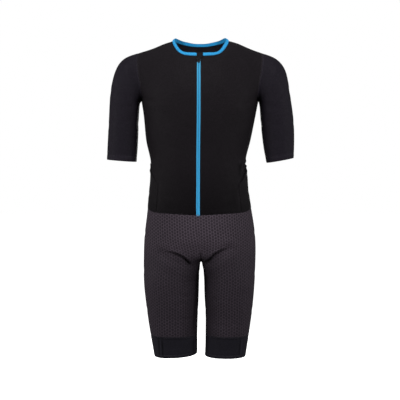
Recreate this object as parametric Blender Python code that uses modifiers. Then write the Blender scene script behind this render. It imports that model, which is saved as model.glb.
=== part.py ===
"""A short-sleeved triathlon suit, filled out with no wearer. Metres, +Z up, front towards -Y.

The origin is between the shoulders, where the wearer holds the suit up.
Left and right are the wearer's, so the left side is at +X.

The outer face of the cloth is one coarse cage, drawn through section tables and smoothed by a
Subdivision Surface. Each sewn piece takes its own faces of that surface and becomes a thin wall.
"""
import math

import bmesh
import bpy
import numpy as np
from mathutils import Matrix, Vector

# ---------------------------------------------------------------- driving dimensions (metres)
MM = 0.001
CLOTH = 1.5 * MM               # wall of the knit pieces
BAND = 1.8 * MM                # wall of the leg grippers
SEAM_GAP = 0.3 * MM            # space between two pieces along a seam
LAY_GAP = 0.3 * MM             # space under a piece that lies on another
SMOOTHING = 1                  # subdivision levels of the cage
FITTING_ROUNDS = 2             # how often the cage is pushed out to bring the surface to its sections
SHARP_FOLD = math.radians(50)  # past this, the two sides of the armhole seam keep their own normals
SHADE_ANGLE = math.radians(40)  # edges sharper than this are shaded flat
MITRE_FLOOR = 0.4              # keeps the inset of a sharp corner short
LEAN_FLOOR = 0.7               # keeps the wall of a leaning seam point short

ROUNDNESS = 2.3                # exponent of the body sections: 2 is an ellipse
LEG_ROUNDNESS = 2.25
SIDE_Y = 4                     # where the body sections are widest, front to back, mm

# Columns of the cage round half of the body: 0 centre front, 7 side seam, 14 centre back.
FRONT, ZIP_EDGE, POCKET_FRONT, ARM_FRONT, SIDE, ARM_BACK, POCKET_BACK, BACK_EDGE, BACK = (
    0, 1, 5, 6, 7, 8, 11, 13, 14)
FRONT_SPACING = (0, 0.16, 0.31, 0.46, 0.62, 0.81, 1)     # columns 1 to 7, share of the arc
BACK_SPACING = (0, 0.17, 0.34, 0.51, 0.68, 0.84, 1)      # columns 7 to 13, share of the arc

# Body sections, mm. front_x is the line of the zip, back_x the middle of the back.
BODY = (
    # z, half_width, front_y, back_y, centre_x, front_x, back_x
    (-120, 184.0, -110, 112, 1.0, -2.0, 1.0),
    (-160, 178.0, -114, 115, 1.6, -2.5, 1.0),
    (-212, 167.9, -116, 114, 0.5, -3.0, 0.0),
    (-285, 157.7, -111, 105, -3.6, -4.0, -3.0),
    (-358, 141.3, -104, 91, -3.6, -5.0, -4.0),
    (-431, 150.5, -101, 86, -2.0, -5.6, -2.0),
    (-487, 157.5, -101, 97, 0.2, -5.8, 0.0),
    (-560, 168.2, -99, 119, 1.6, -1.0, 1.5),
    (-600, 169.6, -96, 124, 1.2, 3.0, 3.0),
    (-640, 169.4, -94, 121, 0.8, 5.0, 5.0),
)

ZIP_TOP_X = BODY[0][5]         # the zip's line from the armpit up

# Rows of the cage down the body, mm: heights at columns 0, 5, 7, 11 and 14, half widths of the
# narrow strips in the middle, and how far the middle is drawn in towards the crotch.
ROW_COLUMNS = (FRONT, POCKET_FRONT, SIDE, POCKET_BACK, BACK)
ROWS = (
    # name, front, pocket_front, side, pocket_back, back, front_strip, back_strip, front_draw, back_draw
    ("armpit", -157, -157, -160, -157, -157, 6, 34, 0, 0),
    ("chest", -207, -205, -203, -203, -205, 6, 34, 0, 0),
    ("ribs", -262, -258, -248, -248, -250, 6, 34, 0, 0),
    ("above_pocket", -325, -322, -296, -296, -300, 6, 34, 0, 0),
    ("pocket_mouth", -394, -411, -350, -345, -350, 6, 34, 0, 0),
    ("pocket_middle", -450, -456, -425, -422, -425, 6, 34, 0, 0),
    ("waist", -504, -500, -492, -488, -488, 6, 34, 0, 0),
    ("belly", -545, -542, -538, -536, -534, 11, 30, 0, 3),
    ("hip", -586, -588, -588, -582, -578, 12, 17, 4, 10),
    ("fork", -622, -628, -636, -628, -618, 4.9, 4.9, 24, 34),
)
DRAW_SHARE = {0: 1.0, 1: 1.0, 2: 0.45, 3: 0.1, 11: 0.1, 12: 0.45, 13: 1.0, 14: 1.0}
ROW = {row[0]: number for number, row in enumerate(ROWS)}
ARMHOLE_RISE = 8               # mm that the armhole climbs from the side seam to the next column

# Seam between the body and the neck binding, and the shoulder seam, mm, left side.
# roll_y and roll_z lead the cloth off the seam; rise and push lead it up from the armpit row.
NECK_X = 2.5                   # the neck opening's middle
YOKE = (
    # column, x, y, z, roll_y, roll_z, rise, push
    (0, 0, -72, -31.5, 17, 34, 40, 0),
    (1, 6, -72, -31.5, 17, 34, 40, 0),
    (2, 36, -66, -29.5, 20, 31, 42, 0),
    (3, 67, -45, -18, 34, 25, 45, 0),
    (4, 88, 4, 19, 52, 14, 48, 0),
    (5, 138, 3, 1.5, 50, 12, 50, 2),
    (6, 190, 1, -16.5, 40, 8, 47, 9),
    (8, 190, 1, -16.5, -42, 8, 47, -9),
    (9, 138, 3, 1.5, -48, 10, 52, -2),
    (10, 88, 4, 19, -48, 10, 54, 0),
    (11, 69, 38, 12, -34, 20, 52, 0),
    (12, 46, 54, 8, -24, 27, 52, 0),
    (13, 22, 61, 6, -18, 30, 50, 0),
    (14, 0, 63, 5.5, -18, 30, 50, 0),
)
YOKE_ROWS = 4                  # cage rows from the armpit to the shoulder
SHOULDER_TWIN = {8: 6, 9: 5, 10: 4}   # back columns that share a shoulder point with the front

NECK_EDGE = (
    # column, x, y, z of the free edge of the neck binding, mm, left side
    (0, 0, -67, -21),
    (1, 6, -67, -21),
    (2, 33, -60, -19),
    (3, 60, -41, -9.5),
    (4, 77, 3, 25.5),
    (11, 61, 35, 22),
    (12, 41, 50, 18),
    (13, 20, 56, 16.5),
    (14, 0, 58, 16),
)

# Sleeve sections from the armhole to the cuff, mm. over is the outer line, under the inner one.
SLEEVE = {
    # over_x, over_z, under_x, under_z, half_depth, centre_y
    1: (
        (231, -33, 181.5, -171, 57, 1),
        (261, -70, 184.0, -193, 60, 1),
        (273, -133, 186.5, -225, 59, 0),
        (284, -204, 190, -263, 56.5, -2),
        (287.5, -272, 195.5, -305, 54, -4),
        (286, -332, 204, -347, 51, -6),
    ),
    -1: (
        (-229, -33, -180.5, -171, 57, 1),
        (-257, -70, -182.5, -193, 60, 1),
        (-269, -133, -184.5, -225, 59, 0),
        (-273.5, -204, -185.5, -263, 56.5, -2),
        (-277.5, -274, -187.5, -304, 54, -4),
        (-280.5, -337, -191, -344, 51, -6),
    ),
}
SLEEVE_POINTS = 10             # cage points round a sleeve

# Crotch: a narrow strip between the legs, mm, from the front fork (0) to the back fork (4).
CROTCH = (
    # y, z
    (-43, -646),
    (3, -657),
    (50, -648),
)
CROTCH_X = 5.0
CROTCH_HALF = 4.9

# Leg sections, mm.
LEG = (
    # z, left_outer_x, left_inner_x, right_outer_x, right_inner_x, front_y, back_y
    (-694, 168.0, 13.7, -168.5, -1.4, -87, 104),
    (-742, 165.3, 15.6, -165.6, -3.4, -85, 96),
    (-785, 161.3, 18.0, -160.4, -5.0, -81.5, 89),
    (-828, 156.2, 19.8, -155.0, -7.2, -76, 82),
    (-871, 150.5, 19.0, -148.6, -7.8, -70, 75),
    (-905, 145.8, 18.9, -143.6, -7.6, -65, 70),
    (-939, 140.5, 17.6, -138.2, -7.6, -60, 65),
)
LEG_POINTS = 16                # cage points round a leg
GRIPPER_RING = 5               # the leg section where the gripper starts
HEM_RISE = {1: 1, -1: 7}       # mm that the leg's hem is higher on its inner side

# The largest folds: soft troughs (depth above 0) or ridges, mm, on the front (-1) or back (1).
FOLDS = (
    # face, x0, z0, x1, z1, depth, width
    (-1, -112, -618, -28, -652, 3.5, 14),
    (-1, 88, -602, 34, -642, 3.5, 14),
    (1, -105, -652, -22, -662, 3.5, 16),
    (1, 112, -650, 30, -662, 3.5, 16),
    (1, -95, -452, 95, -446, 2.0, 20),
)

# Zip hardware
TAPE_SPLIT = 1.2 * MM          # space between the two tapes, where the slider's web runs
CHAIN_WIDTH = 4.4 * MM
CHAIN_THICK = 1.3 * MM
CHAIN_END_GAP = 1.2 * MM       # from the chain's ends to the slider and the stop
CHAIN_STEP = 2.0 * MM          # shortest step of the chain
SLIDER_TOP_Z = -34.0 * MM
SLIDER_LENGTH = 11.5 * MM
SLIDER_WIDTH = 10.4 * MM
SLIDER_BACK_WIDTH = 9.0 * MM
PLATE = 1.3 * MM               # thickness of the slider's two plates
WEB = 0.6 * MM                 # thickness of the web between them
PLATE_GAP = 0.45 * MM          # running space between a plate and the tape
BAIL_INSIDE = 2.2 * MM         # height under the slider's bail
BAIL_BAR = 1.1 * MM
BAIL_CHAMFER = 0.88 * MM
BAIL_LENGTH = 7.4 * MM
BAIL_WIDTH = 1.8 * MM
PIN_RADIUS = 0.7 * MM
PIN_SIDES = 12
PULL_WIDTH = 7.6 * MM
PULL_LENGTH = 13.0 * MM
PULL_THICK = 1.2 * MM
PULL_CHEEK = 1.3 * MM          # width of the tab beside the hole that clears the bail
PULL_SLOT_WIDTH = 3.2 * MM
PULL_SLOT_LENGTH = 5.2 * MM
PULL_WAIST = 3.9 * MM          # length of the narrow part beside the hole
PULL_SHOULDER = 6.4 * MM       # where the tab reaches its full width
PULL_ARC_STEPS = 8             # sides of the tab's round end
PIN_OVERHANG = 1.1 * MM        # how far the pin runs into each cheek
STOP_LENGTH = 5.0 * MM
STOP_WIDTH = 6.4 * MM
STOP_BACK_WIDTH = 5.4 * MM
STOP_FOOT = 1.2 * MM           # the bottom stop's height above the waist seam
GARAGE_HALF = 8.5 * MM
GARAGE_WALL = 1.2 * MM
GARAGE_GAP = 0.5 * MM          # space under the garage
GARAGE_BELOW = 3.0 * MM        # below the binding's seam
GARAGE_ABOVE = 1.6 * MM        # above the binding's free edge
GARAGE_BOW = 6.0               # how fast it falls back round the neck, per metre

# name: colour, roughness, metallic
FINISHES = {
    "body_knit": ((0.0122, 0.0105, 0.0125), 0.62, 0.0),
    "sleeve_knit": ((0.0175, 0.0152, 0.0203), 0.58, 0.0),
    "honeycomb_knit": ((0.0300, 0.0250, 0.0300), 0.70, 0.0),
    "gripper_elastic": ((0.0110, 0.0103, 0.0140), 0.60, 0.0),
    "blue_binding": ((0.040, 0.270, 0.540), 0.55, 0.0),
    "blue_zip_tape": ((0.035, 0.270, 0.560), 0.50, 0.0),
    "zip_plastic": ((0.110, 0.270, 0.440), 0.35, 0.0),
    "slider_paint": ((0.020, 0.016, 0.017), 0.35, 0.4),
}

PIECES = (
    # name, finish, wall, how far its edges stand back from a seam's line
    ("front_left", "body_knit", CLOTH, SEAM_GAP / 2),
    ("front_right", "body_knit", CLOTH, SEAM_GAP / 2),
    ("back", "body_knit", CLOTH, SEAM_GAP / 2),
    ("sleeve_left", "sleeve_knit", CLOTH, SEAM_GAP / 2),
    ("sleeve_right", "sleeve_knit", CLOTH, SEAM_GAP / 2),
    ("zip_tape_left", "blue_zip_tape", CLOTH, TAPE_SPLIT / 2),
    ("zip_tape_right", "blue_zip_tape", CLOTH, TAPE_SPLIT / 2),
    ("neck_binding", "blue_binding", CLOTH, SEAM_GAP),
    ("shorts_front", "honeycomb_knit", CLOTH, SEAM_GAP / 2),
    ("shorts_back", "honeycomb_knit", CLOTH, SEAM_GAP / 2),
    ("gripper_left", "gripper_elastic", BAND, SEAM_GAP / 2),
    ("gripper_right", "gripper_elastic", BAND, SEAM_GAP / 2),
)
PIECE = {piece[0]: number for number, piece in enumerate(PIECES)}
SLEEVE_NUMBERS = [PIECE["sleeve_left"], PIECE["sleeve_right"]]
POCKET_MARK = 100              # added to a face's piece number where a pocket lies on it
SIDE_NAME = {1: "left", -1: "right"}


# ---------------------------------------------------------------- scene set-up
def clear_scene():
    for item in list(bpy.data.objects):
        bpy.data.objects.remove(item, do_unlink=True)


def collection(name):
    group = bpy.data.collections.new(name)
    bpy.context.scene.collection.children.link(group)
    return group


def finish(name):
    """The Principled material of one finish, made once."""
    if name in bpy.data.materials:
        return bpy.data.materials[name]
    colour, roughness, metallic = FINISHES[name]
    material = bpy.data.materials.new(name)
    material.use_nodes = True
    shader = material.node_tree.nodes["Principled BSDF"]
    shader.inputs["Base Color"].default_value = (*colour, 1.0)
    shader.inputs["Roughness"].default_value = roughness
    shader.inputs["Metallic"].default_value = metallic
    return material


def add_object(name, mesh, group, finish_name=None):
    item = bpy.data.objects.new(name, mesh)
    group.objects.link(item)
    if finish_name:
        mesh.materials.clear()
        mesh.materials.append(finish(finish_name))
    return item


# ---------------------------------------------------------------- section geometry
def curve_through(table, column):
    """A smooth function of z through one column of a table, from cubic Hermite pieces."""
    rows = sorted(table, key=lambda row: row[0])
    z = np.array([row[0] for row in rows], float)
    value = np.array([row[column] for row in rows], float)
    slope = np.gradient(value, z)

    def at(height):
        height = min(max(height, z[0]), z[-1])
        k = min(int(np.searchsorted(z, height, side="right")) - 1, len(z) - 2)
        span = z[k + 1] - z[k]
        t = (height - z[k]) / span
        return float(
            (1 + 2 * t) * (1 - t) ** 2 * value[k]
            + t * (1 - t) ** 2 * span * slope[k]
            + t * t * (3 - 2 * t) * value[k + 1]
            - t * t * (1 - t) * span * slope[k + 1])
    return at


BODY_CURVES = [curve_through(BODY, column) for column in range(1, len(BODY[0]))]


def quarter_arc(half_width, depth, strip, shares):
    """Points on a quarter of a rounded section, from x = strip to the widest point."""
    angle = np.linspace(0, math.pi / 2, 181)
    x = half_width * np.sin(angle) ** (2 / ROUNDNESS)
    y = depth * np.cos(angle) ** (2 / ROUNDNESS)
    length = np.concatenate(([0], np.cumsum(np.hypot(np.diff(x), np.diff(y)))))
    start = np.interp(strip, x, length)
    stops = start + (length[-1] - start) * np.array(shares)
    return np.interp(stops, length, x), np.interp(stops, length, y)


def body_point(side, column, row):
    """A point of the body's outer face, mm."""
    _, *heights, front_strip, back_strip, front_draw, back_draw = ROWS[row]
    z = float(np.interp(column, ROW_COLUMNS, heights))
    if row == ROW["armpit"] and column in (ARM_FRONT, ARM_BACK):
        z += ARMHOLE_RISE
    half, front_y, back_y, centre, front_x, back_x = [curve(z) for curve in BODY_CURVES]
    if column <= SIDE:
        depth = SIDE_Y - front_y
        reach = half + side * (centre - front_x)
        x, y = quarter_arc(reach, depth, front_strip, FRONT_SPACING)
        local = (0, depth) if column == FRONT else (x[column - 1], y[column - 1])
        draw = front_draw * DRAW_SHARE.get(column, 0)
        return Vector((front_x + side * local[0], SIDE_Y - local[1] + draw, z))
    depth = back_y - SIDE_Y
    reach = half + side * (centre - back_x)
    x, y = quarter_arc(reach, depth, back_strip, [1 - share for share in BACK_SPACING])
    local = (0, depth) if column == BACK else (x[column - SIDE], y[column - SIDE])
    draw = back_draw * DRAW_SHARE.get(column, 0)
    return Vector((back_x + side * local[0], SIDE_Y + local[1] - draw, z))


def bezier(p0, p1, p2, p3, t):
    return p0 * (1 - t) ** 3 + p1 * 3 * t * (1 - t) ** 2 + p2 * 3 * t * t * (1 - t) + p3 * t ** 3


def yoke_point(side, yoke_row, step):
    """A point between the armpit row (step 0) and the shoulder or neck seam, mm."""
    column, x, y, z, roll_y, roll_z, rise, push = yoke_row
    top = Vector((NECK_X + side * x, y, z))
    if column == FRONT or column == ZIP_EDGE:
        top.x = ZIP_TOP_X + side * x
    foot = body_point(side, column, ROW["armpit"])
    return bezier(foot, foot + Vector((0, -push, rise)), top - Vector((0, roll_y, roll_z)), top,
                  step / YOKE_ROWS)


def ring_point(centre, over, depth, angle, roundness):
    """A point of a tilted section: over and depth are its two half axes."""
    c, s = math.cos(angle), math.sin(angle)
    along = math.copysign(abs(c) ** (2 / roundness), c)
    across = math.copysign(abs(s) ** (2 / roundness), s)
    return centre + over * along + depth * across


# ---------------------------------------------------------------- the cage
class Cage:
    """Quads on named points, each quad with the number of the piece that it belongs to."""

    def __init__(self):
        self.points = []
        self.index = {}
        self.faces = []
        self.marks = []
        self.creases = {}

    def point(self, key, place):
        if key not in self.index:
            self.index[key] = len(self.points)
            self.points.append(place() * MM)
        return self.index[key]

    def quad(self, corners, side, mark):
        self.faces.append(tuple(corners) if side > 0 else tuple(reversed(corners)))
        self.marks.append(mark)

    def crease(self, line, weight):
        for a, b in zip(line, line[1:]):
            self.creases[frozenset((a, b))] = weight


def body_key(cage, side, column, row):
    middle = column in (FRONT, BACK)
    key = ("body", 0 if middle else side, column, row)
    return cage.point(key, lambda: body_point(side, column, row))


def yoke_key(cage, side, column, step):
    """Points above the armpit; the last step is the shoulder or neck seam."""
    if step == 0:
        return body_key(cage, side, column, ROW["armpit"])
    yoke_row = next(row for row in YOKE if row[0] == column)
    if step == YOKE_ROWS:
        column = SHOULDER_TWIN.get(column, column)
    middle = column in (FRONT, BACK)
    key = ("yoke", 0 if middle else side, column, step)
    return cage.point(key, lambda: yoke_point(side, yoke_row, step))


def neck_key(cage, side, column):
    column = SHOULDER_TWIN.get(column, column)
    _, x, y, z = next(row for row in NECK_EDGE if row[0] == column)
    middle = column in (FRONT, BACK)
    middle_x = ZIP_TOP_X if column in (FRONT, ZIP_EDGE) else NECK_X
    key = ("neck", 0 if middle else side, column)
    return cage.point(key, lambda: Vector((middle_x + side * x, y, z)))


def add_body(cage, side):
    name = SIDE_NAME[side]
    for row in range(len(ROWS) - 1):
        for column in range(BACK):
            if row < ROW["waist"]:
                if column == FRONT:
                    piece = "zip_tape_" + name
                elif column < SIDE:
                    piece = "front_" + name
                else:
                    piece = "back"
            else:
                piece = "shorts_front" if column < SIDE else "shorts_back"
            mark = PIECE[piece]
            in_pocket = POCKET_FRONT <= column < POCKET_BACK
            if in_pocket and ROW["pocket_mouth"] <= row < ROW["waist"]:
                mark += POCKET_MARK
            corners = [body_key(cage, side, column, row), body_key(cage, side, column, row + 1),
                       body_key(cage, side, column + 1, row + 1),
                       body_key(cage, side, column + 1, row)]
            cage.quad(corners, side, mark)


def add_yoke(cage, side):
    name = SIDE_NAME[side]
    for column in list(range(FRONT, ARM_FRONT)) + list(range(ARM_BACK, BACK)):
        if column == FRONT:
            piece = "zip_tape_" + name
        else:
            piece = "front_" + name if column < SIDE else "back"
        for step in range(YOKE_ROWS):
            corners = [yoke_key(cage, side, column, step + 1), yoke_key(cage, side, column, step),
                       yoke_key(cage, side, column + 1, step),
                       yoke_key(cage, side, column + 1, step + 1)]
            cage.quad(corners, side, PIECE[piece])
    neck_columns = list(range(FRONT, 4)) + list(range(10, BACK))
    for column in neck_columns:
        piece = "zip_tape_" + name if column == FRONT else "neck_binding"
        corners = [neck_key(cage, side, column), yoke_key(cage, side, column, YOKE_ROWS),
                   yoke_key(cage, side, column + 1, YOKE_ROWS), neck_key(cage, side, column + 1)]
        cage.quad(corners, side, PIECE[piece])
        cage.crease(corners[1:3], 1.0)


def armhole_ring(cage, side):
    """The armhole's points: under the arm, up the front, over the shoulder, down the back."""
    front = [yoke_key(cage, side, ARM_FRONT, step) for step in range(YOKE_ROWS + 1)]
    back = [yoke_key(cage, side, ARM_BACK, step) for step in range(YOKE_ROWS)]
    return [body_key(cage, side, SIDE, ROW["armpit"])] + front + back[::-1]


def add_sleeve(cage, side):
    rings = [armhole_ring(cage, side)]
    for number, (over_x, over_z, under_x, under_z, half_depth, y) in enumerate(SLEEVE[side]):
        over = Vector((over_x, y, over_z))
        under = Vector((under_x, y, under_z))
        ring = []
        for k in range(SLEEVE_POINTS):
            angle = math.pi + 2 * math.pi * k / SLEEVE_POINTS
            place = ring_point((over + under) / 2, (over - under) / 2,
                               Vector((0, half_depth, 0)), angle, LEG_ROUNDNESS)
            ring.append(cage.point(("sleeve", side, number, k), lambda p=place: p))
        rings.append(ring)
    for upper, lower in zip(rings, rings[1:]):
        for k in range(SLEEVE_POINTS):
            n = (k + 1) % SLEEVE_POINTS
            cage.quad([upper[k], lower[k], lower[n], upper[n]], side,
                      PIECE["sleeve_" + SIDE_NAME[side]])
    under_arm = [rings[0][k] for k in (-2, -1, 0, 1, 2)]
    cage.crease(under_arm, 1.0)


def crotch_key(cage, side, step):
    """Points of the strip between the legs: step 0 is the front fork, 4 the back fork."""
    if step in (0, len(CROTCH) + 1):
        columns = (FRONT, ZIP_EDGE) if step == 0 else (BACK, BACK_EDGE)
        return body_key(cage, side or 1, columns[abs(side)], ROW["fork"])
    y, z = CROTCH[step - 1]
    return cage.point(("crotch", side, step),
                      lambda: Vector((CROTCH_X + side * CROTCH_HALF, y, z)))


def add_leg(cage, side):
    halfway = (len(CROTCH) + 1) // 2
    for step in range(len(CROTCH) + 1):
        piece = "shorts_front" if step < halfway else "shorts_back"
        corners = [crotch_key(cage, 0, step), crotch_key(cage, 0, step + 1),
                   crotch_key(cage, side, step + 1), crotch_key(cage, side, step)]
        cage.quad(corners, side, PIECE[piece])
    top = [body_key(cage, side, column, ROW["fork"]) for column in range(ZIP_EDGE, BACK)]
    top += [crotch_key(cage, side, step) for step in (3, 2, 1)]
    rings = [top]
    for number, row in enumerate(LEG):
        z, left_outer, left_inner, right_outer, right_inner, front_y, back_y = row
        outer, inner = (left_outer, left_inner) if side > 0 else (right_outer, right_inner)
        centre = Vector(((outer + inner) / 2, (front_y + back_y) / 2, z))
        ring = []
        for k in range(LEG_POINTS):
            angle = 2 * math.pi * (k - (SIDE - 1)) / LEG_POINTS
            place = ring_point(centre, Vector(((outer - inner) / 2, 0, 0)),
                               Vector((0, (back_y - front_y) / 2, 0)), angle, LEG_ROUNDNESS)
            if number == len(LEG) - 1:
                place.z += HEM_RISE[side] * max(0.0, -math.cos(angle)) ** 2
            ring.append(cage.point(("leg", side, number, k), lambda p=place: p))
        rings.append(ring)
    inseam = top.index(crotch_key(cage, side, halfway))
    for number, (upper, lower) in enumerate(zip(rings, rings[1:])):
        for k in range(LEG_POINTS):
            n = (k + 1) % LEG_POINTS
            piece = "shorts_back" if SIDE - 1 <= k < inseam else "shorts_front"
            if number >= GRIPPER_RING:
                piece = "gripper_" + SIDE_NAME[side]
            cage.quad([upper[k], lower[k], lower[n], upper[n]], side, PIECE[piece])


def add_creases(cage):
    """The zip's edges stay straight beside their wide neighbours."""
    for side in (1, -1):
        line = [neck_key(cage, side, ZIP_EDGE)]
        line += [yoke_key(cage, side, ZIP_EDGE, step) for step in range(YOKE_ROWS, 0, -1)]
        line += [body_key(cage, side, ZIP_EDGE, row) for row in range(ROW["waist"] + 1)]
        cage.crease(line, 1.0)


def build_cage():
    cage = Cage()
    for side in (1, -1):
        add_body(cage, side)
        add_yoke(cage, side)
        add_sleeve(cage, side)
        add_leg(cage, side)
    add_creases(cage)
    return cage


# ---------------------------------------------------------------- the smooth surface
def smooth_surface(cage, group):
    """Smooth the cage, pushing it out until the surface passes through its sections."""
    mesh = bpy.data.meshes.new("cloth_cage")
    mesh.from_pydata(cage.points, [], cage.faces)
    mesh.polygons.foreach_set("material_index", cage.marks)
    crease = mesh.attributes.new("crease_edge", "FLOAT", "EDGE")
    for edge in mesh.edges:
        crease.data[edge.index].value = cage.creases.get(frozenset(edge.vertices), 0.0)
    helper = add_object("cloth_cage", mesh, group)
    helper.hide_render = True
    helper.display_type = "WIRE"
    modifier = helper.modifiers.new("smooth", "SUBSURF")
    modifier.levels = modifier.render_levels = SMOOTHING
    modifier.use_limit_surface = True
    target = np.array([tuple(p) for p in cage.points])
    for _ in range(FITTING_ROUNDS):
        points, _, _ = evaluated(helper)
        place = np.empty(len(target) * 3)
        mesh.vertices.foreach_get("co", place)
        place = place.reshape(-1, 3) + target - points[:len(target)]
        mesh.vertices.foreach_set("co", place.ravel())
        mesh.update()
    return evaluated(helper)


def evaluated(item):
    """Points, quads and piece marks of an object as its modifiers leave it."""
    graph = bpy.context.evaluated_depsgraph_get()
    graph.update()
    mesh = bpy.data.meshes.new_from_object(item.evaluated_get(graph))
    points = np.array([tuple(v.co) for v in mesh.vertices])
    quads = np.array([tuple(p.vertices) for p in mesh.polygons])
    marks = np.array([p.material_index for p in mesh.polygons])
    bpy.data.meshes.remove(mesh)
    return points, quads, marks


def short_diagonals_first(points, quads):
    """Turn each quad so that its shorter diagonal runs from its first corner."""
    first = np.linalg.norm(points[quads[:, 0]] - points[quads[:, 2]], axis=1)
    second = np.linalg.norm(points[quads[:, 1]] - points[quads[:, 3]], axis=1)
    return np.where((first <= second)[:, None], quads, np.roll(quads, -1, axis=1))


def vertex_normals(points, quads):
    diagonal_a = points[quads[:, 2]] - points[quads[:, 0]]
    diagonal_b = points[quads[:, 3]] - points[quads[:, 1]]
    face_normal = np.cross(diagonal_a, diagonal_b)
    face_normal /= np.linalg.norm(face_normal, axis=1)[:, None]
    normal = np.zeros_like(points)
    for corner in range(4):
        np.add.at(normal, quads[:, corner], face_normal)
    length = np.linalg.norm(normal, axis=1)[:, None]
    return normal / np.maximum(length, 1e-9)


def fold_depth(points, normals):
    """How far the folds press each point in, metres."""
    depth = np.zeros(len(points))
    for face, x0, z0, x1, z1, deep, width in FOLDS:
        start = np.array((x0, z0)) * MM
        line = np.array((x1, z1)) * MM - start
        flat = points[:, [0, 2]] - start
        t = np.clip(flat @ line / (line @ line), 0, 1)
        away = np.linalg.norm(flat - t[:, None] * line, axis=1)
        facing = np.clip(normals[:, 1] * face, 0, 1)
        depth += deep * MM * np.exp(-(away / (width * MM)) ** 2) * facing
    return depth


# ---------------------------------------------------------------- walls
def wall_mesh(name, outer, inner, faces):
    """A closed wall between two matching skins: faces index both."""
    count = len(outer)
    skins = [tuple(face) for face in faces]
    skins += [tuple(v + count for v in reversed(face)) for face in faces]
    edges = {}
    for face in faces:
        for a, b in zip(face, list(face[1:]) + [face[0]]):
            edges[(a, b)] = True
    rims = [(b, a, a + count, b + count) for a, b in edges if (b, a) not in edges]
    mesh = bpy.data.meshes.new(name)
    mesh.from_pydata([tuple(p) for p in outer] + [tuple(p) for p in inner], [], skins + rims)
    mesh.validate()
    mesh.shade_smooth()
    mesh.set_sharp_from_angle(angle=SHADE_ANGLE)
    return mesh


def piece_skin(points, quads, chosen):
    """The points and quads of some faces, renumbered, and their numbers in the whole."""
    used, numbers = np.unique(quads[chosen], return_inverse=True)
    return points[used].copy(), numbers.reshape(-1, 4), used


def halves(quads):
    """Two triangles for each quad, so that every layer of cloth folds along the same lines."""
    return [tuple(int(quad[k]) for k in corners)
            for quad in quads for corners in ((0, 1, 2), (0, 2, 3))]


def edge_insets(points, faces, normals):
    """For each boundary point, the mitred step of unit width towards the piece's inside."""
    owner = {}
    for face in faces:
        for a, b in zip(face, list(face[1:]) + [face[0]]):
            owner[(a, b)] = True
    steps = {}
    for a, b in owner:
        if (b, a) in owner:
            continue
        along = points[b] - points[a]
        for v in (a, b):
            inward = np.cross(normals[v], along)
            steps.setdefault(v, []).append(inward / np.linalg.norm(inward))
    result = {}
    for v, pair in steps.items():
        total = sum(pair)
        result[v] = total / max(MITRE_FLOOR, 1 + float(pair[0] @ pair[-1])) if len(pair) > 1 else total
    return result


def cloth_piece(surface, name, wall, keep, lift=0.0, inset=SEAM_GAP / 2):
    """A wall on part of the surface: its outer skin is the surface, moved out by lift."""
    points, quads, normals, marks = surface
    skin, own_quads, used = piece_skin(points, quads, keep(marks))
    faces = halves(own_quads)
    is_sleeve = name.startswith("sleeve")
    limb = np.isin(marks % POCKET_MARK, SLEEVE_NUMBERS) == is_sleeve
    own = vertex_normals(points, quads[limb])[used]
    shared = normals[used]
    cosine = np.sum(own * shared, axis=1)
    direction = shared / np.maximum(cosine, LEAN_FLOOR)[:, None]
    steps = edge_insets(skin, faces, own)
    moves = np.zeros_like(skin)
    for v, step in steps.items():
        moves[v] = step * inset
        if cosine[v] < math.cos(SHARP_FOLD):
            direction[v] = own[v]
            moves[v] -= own[v] * SEAM_GAP / 2
    outer = skin + moves + direction * lift
    return wall_mesh(name, outer, outer - direction * wall, faces)


def is_piece(name):
    number = PIECE[name]
    return lambda marks: (marks == number) | (marks == number + POCKET_MARK)


def add_panels(surface, group):
    for name, finish_name, wall, inset in PIECES:
        mesh = cloth_piece(surface, name, wall, is_piece(name), inset=inset)
        add_object(name, mesh, group, finish_name)


def add_pockets(surface, group):
    """Patch pockets made from the body's own points, moved out."""
    points = surface[0]
    for side in (1, -1):
        name = "pocket_" + SIDE_NAME[side]
        quads, marks = surface[1], surface[3]
        on_side = points[quads].mean(axis=1)[:, 0] * side > 0
        mesh = cloth_piece(surface, name, CLOTH,
                           lambda all_marks, side_mask=on_side: (all_marks >= POCKET_MARK) & side_mask,
                           lift=LAY_GAP + CLOTH)
        add_object(name, mesh, group, "body_knit")


# ---------------------------------------------------------------- zip hardware
def centre_line(surface):
    """The suit's centre-front line, top to bottom, from the neck's edge to the waist seam."""
    points, quads, _, marks = surface
    tapes = [set(quads[marks == PIECE["zip_tape_" + name]].ravel()) for name in SIDE_NAME.values()]
    line = points[sorted(tapes[0] & tapes[1])]
    return line[np.argsort(-line[:, 2])]


def line_frame(line, height):
    """Place, up direction and outward direction on the centre-front line at a height."""
    k = int(np.clip(np.searchsorted(-line[:, 2], -height) - 1, 0, len(line) - 2))
    top, foot = Vector(line[k]), Vector(line[k + 1])
    up = (top - foot).normalized()
    place = foot + (top - foot) * ((height - foot.z) / (top.z - foot.z))
    out = Vector((1, 0, 0)).cross(up).normalized() * -1
    return place, up, out if out.y < 0 else -out


def frame_matrix(place, up, out):
    """Local X across, Y inwards, Z up along the zip."""
    inward = -out
    across = inward.cross(up).normalized()
    matrix = Matrix((across, inward, up)).transposed().to_4x4()
    matrix.translation = place
    return matrix


def extruded(name, outline, length):
    """A closed prism on an outline in local X and Y, from z = -length to 0."""
    bm = bmesh.new()
    base = [bm.verts.new((x, y, -length)) for x, y in outline]
    face = bm.faces.new(base)
    top = bmesh.ops.extrude_face_region(bm, geom=[face])
    moved = [item for item in top["geom"] if isinstance(item, bmesh.types.BMVert)]
    bmesh.ops.translate(bm, verts=moved, vec=(0, 0, length))
    bmesh.ops.recalc_face_normals(bm, faces=bm.faces)
    mesh = bpy.data.meshes.new(name)
    bm.to_mesh(mesh)
    bm.free()
    return mesh


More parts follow.
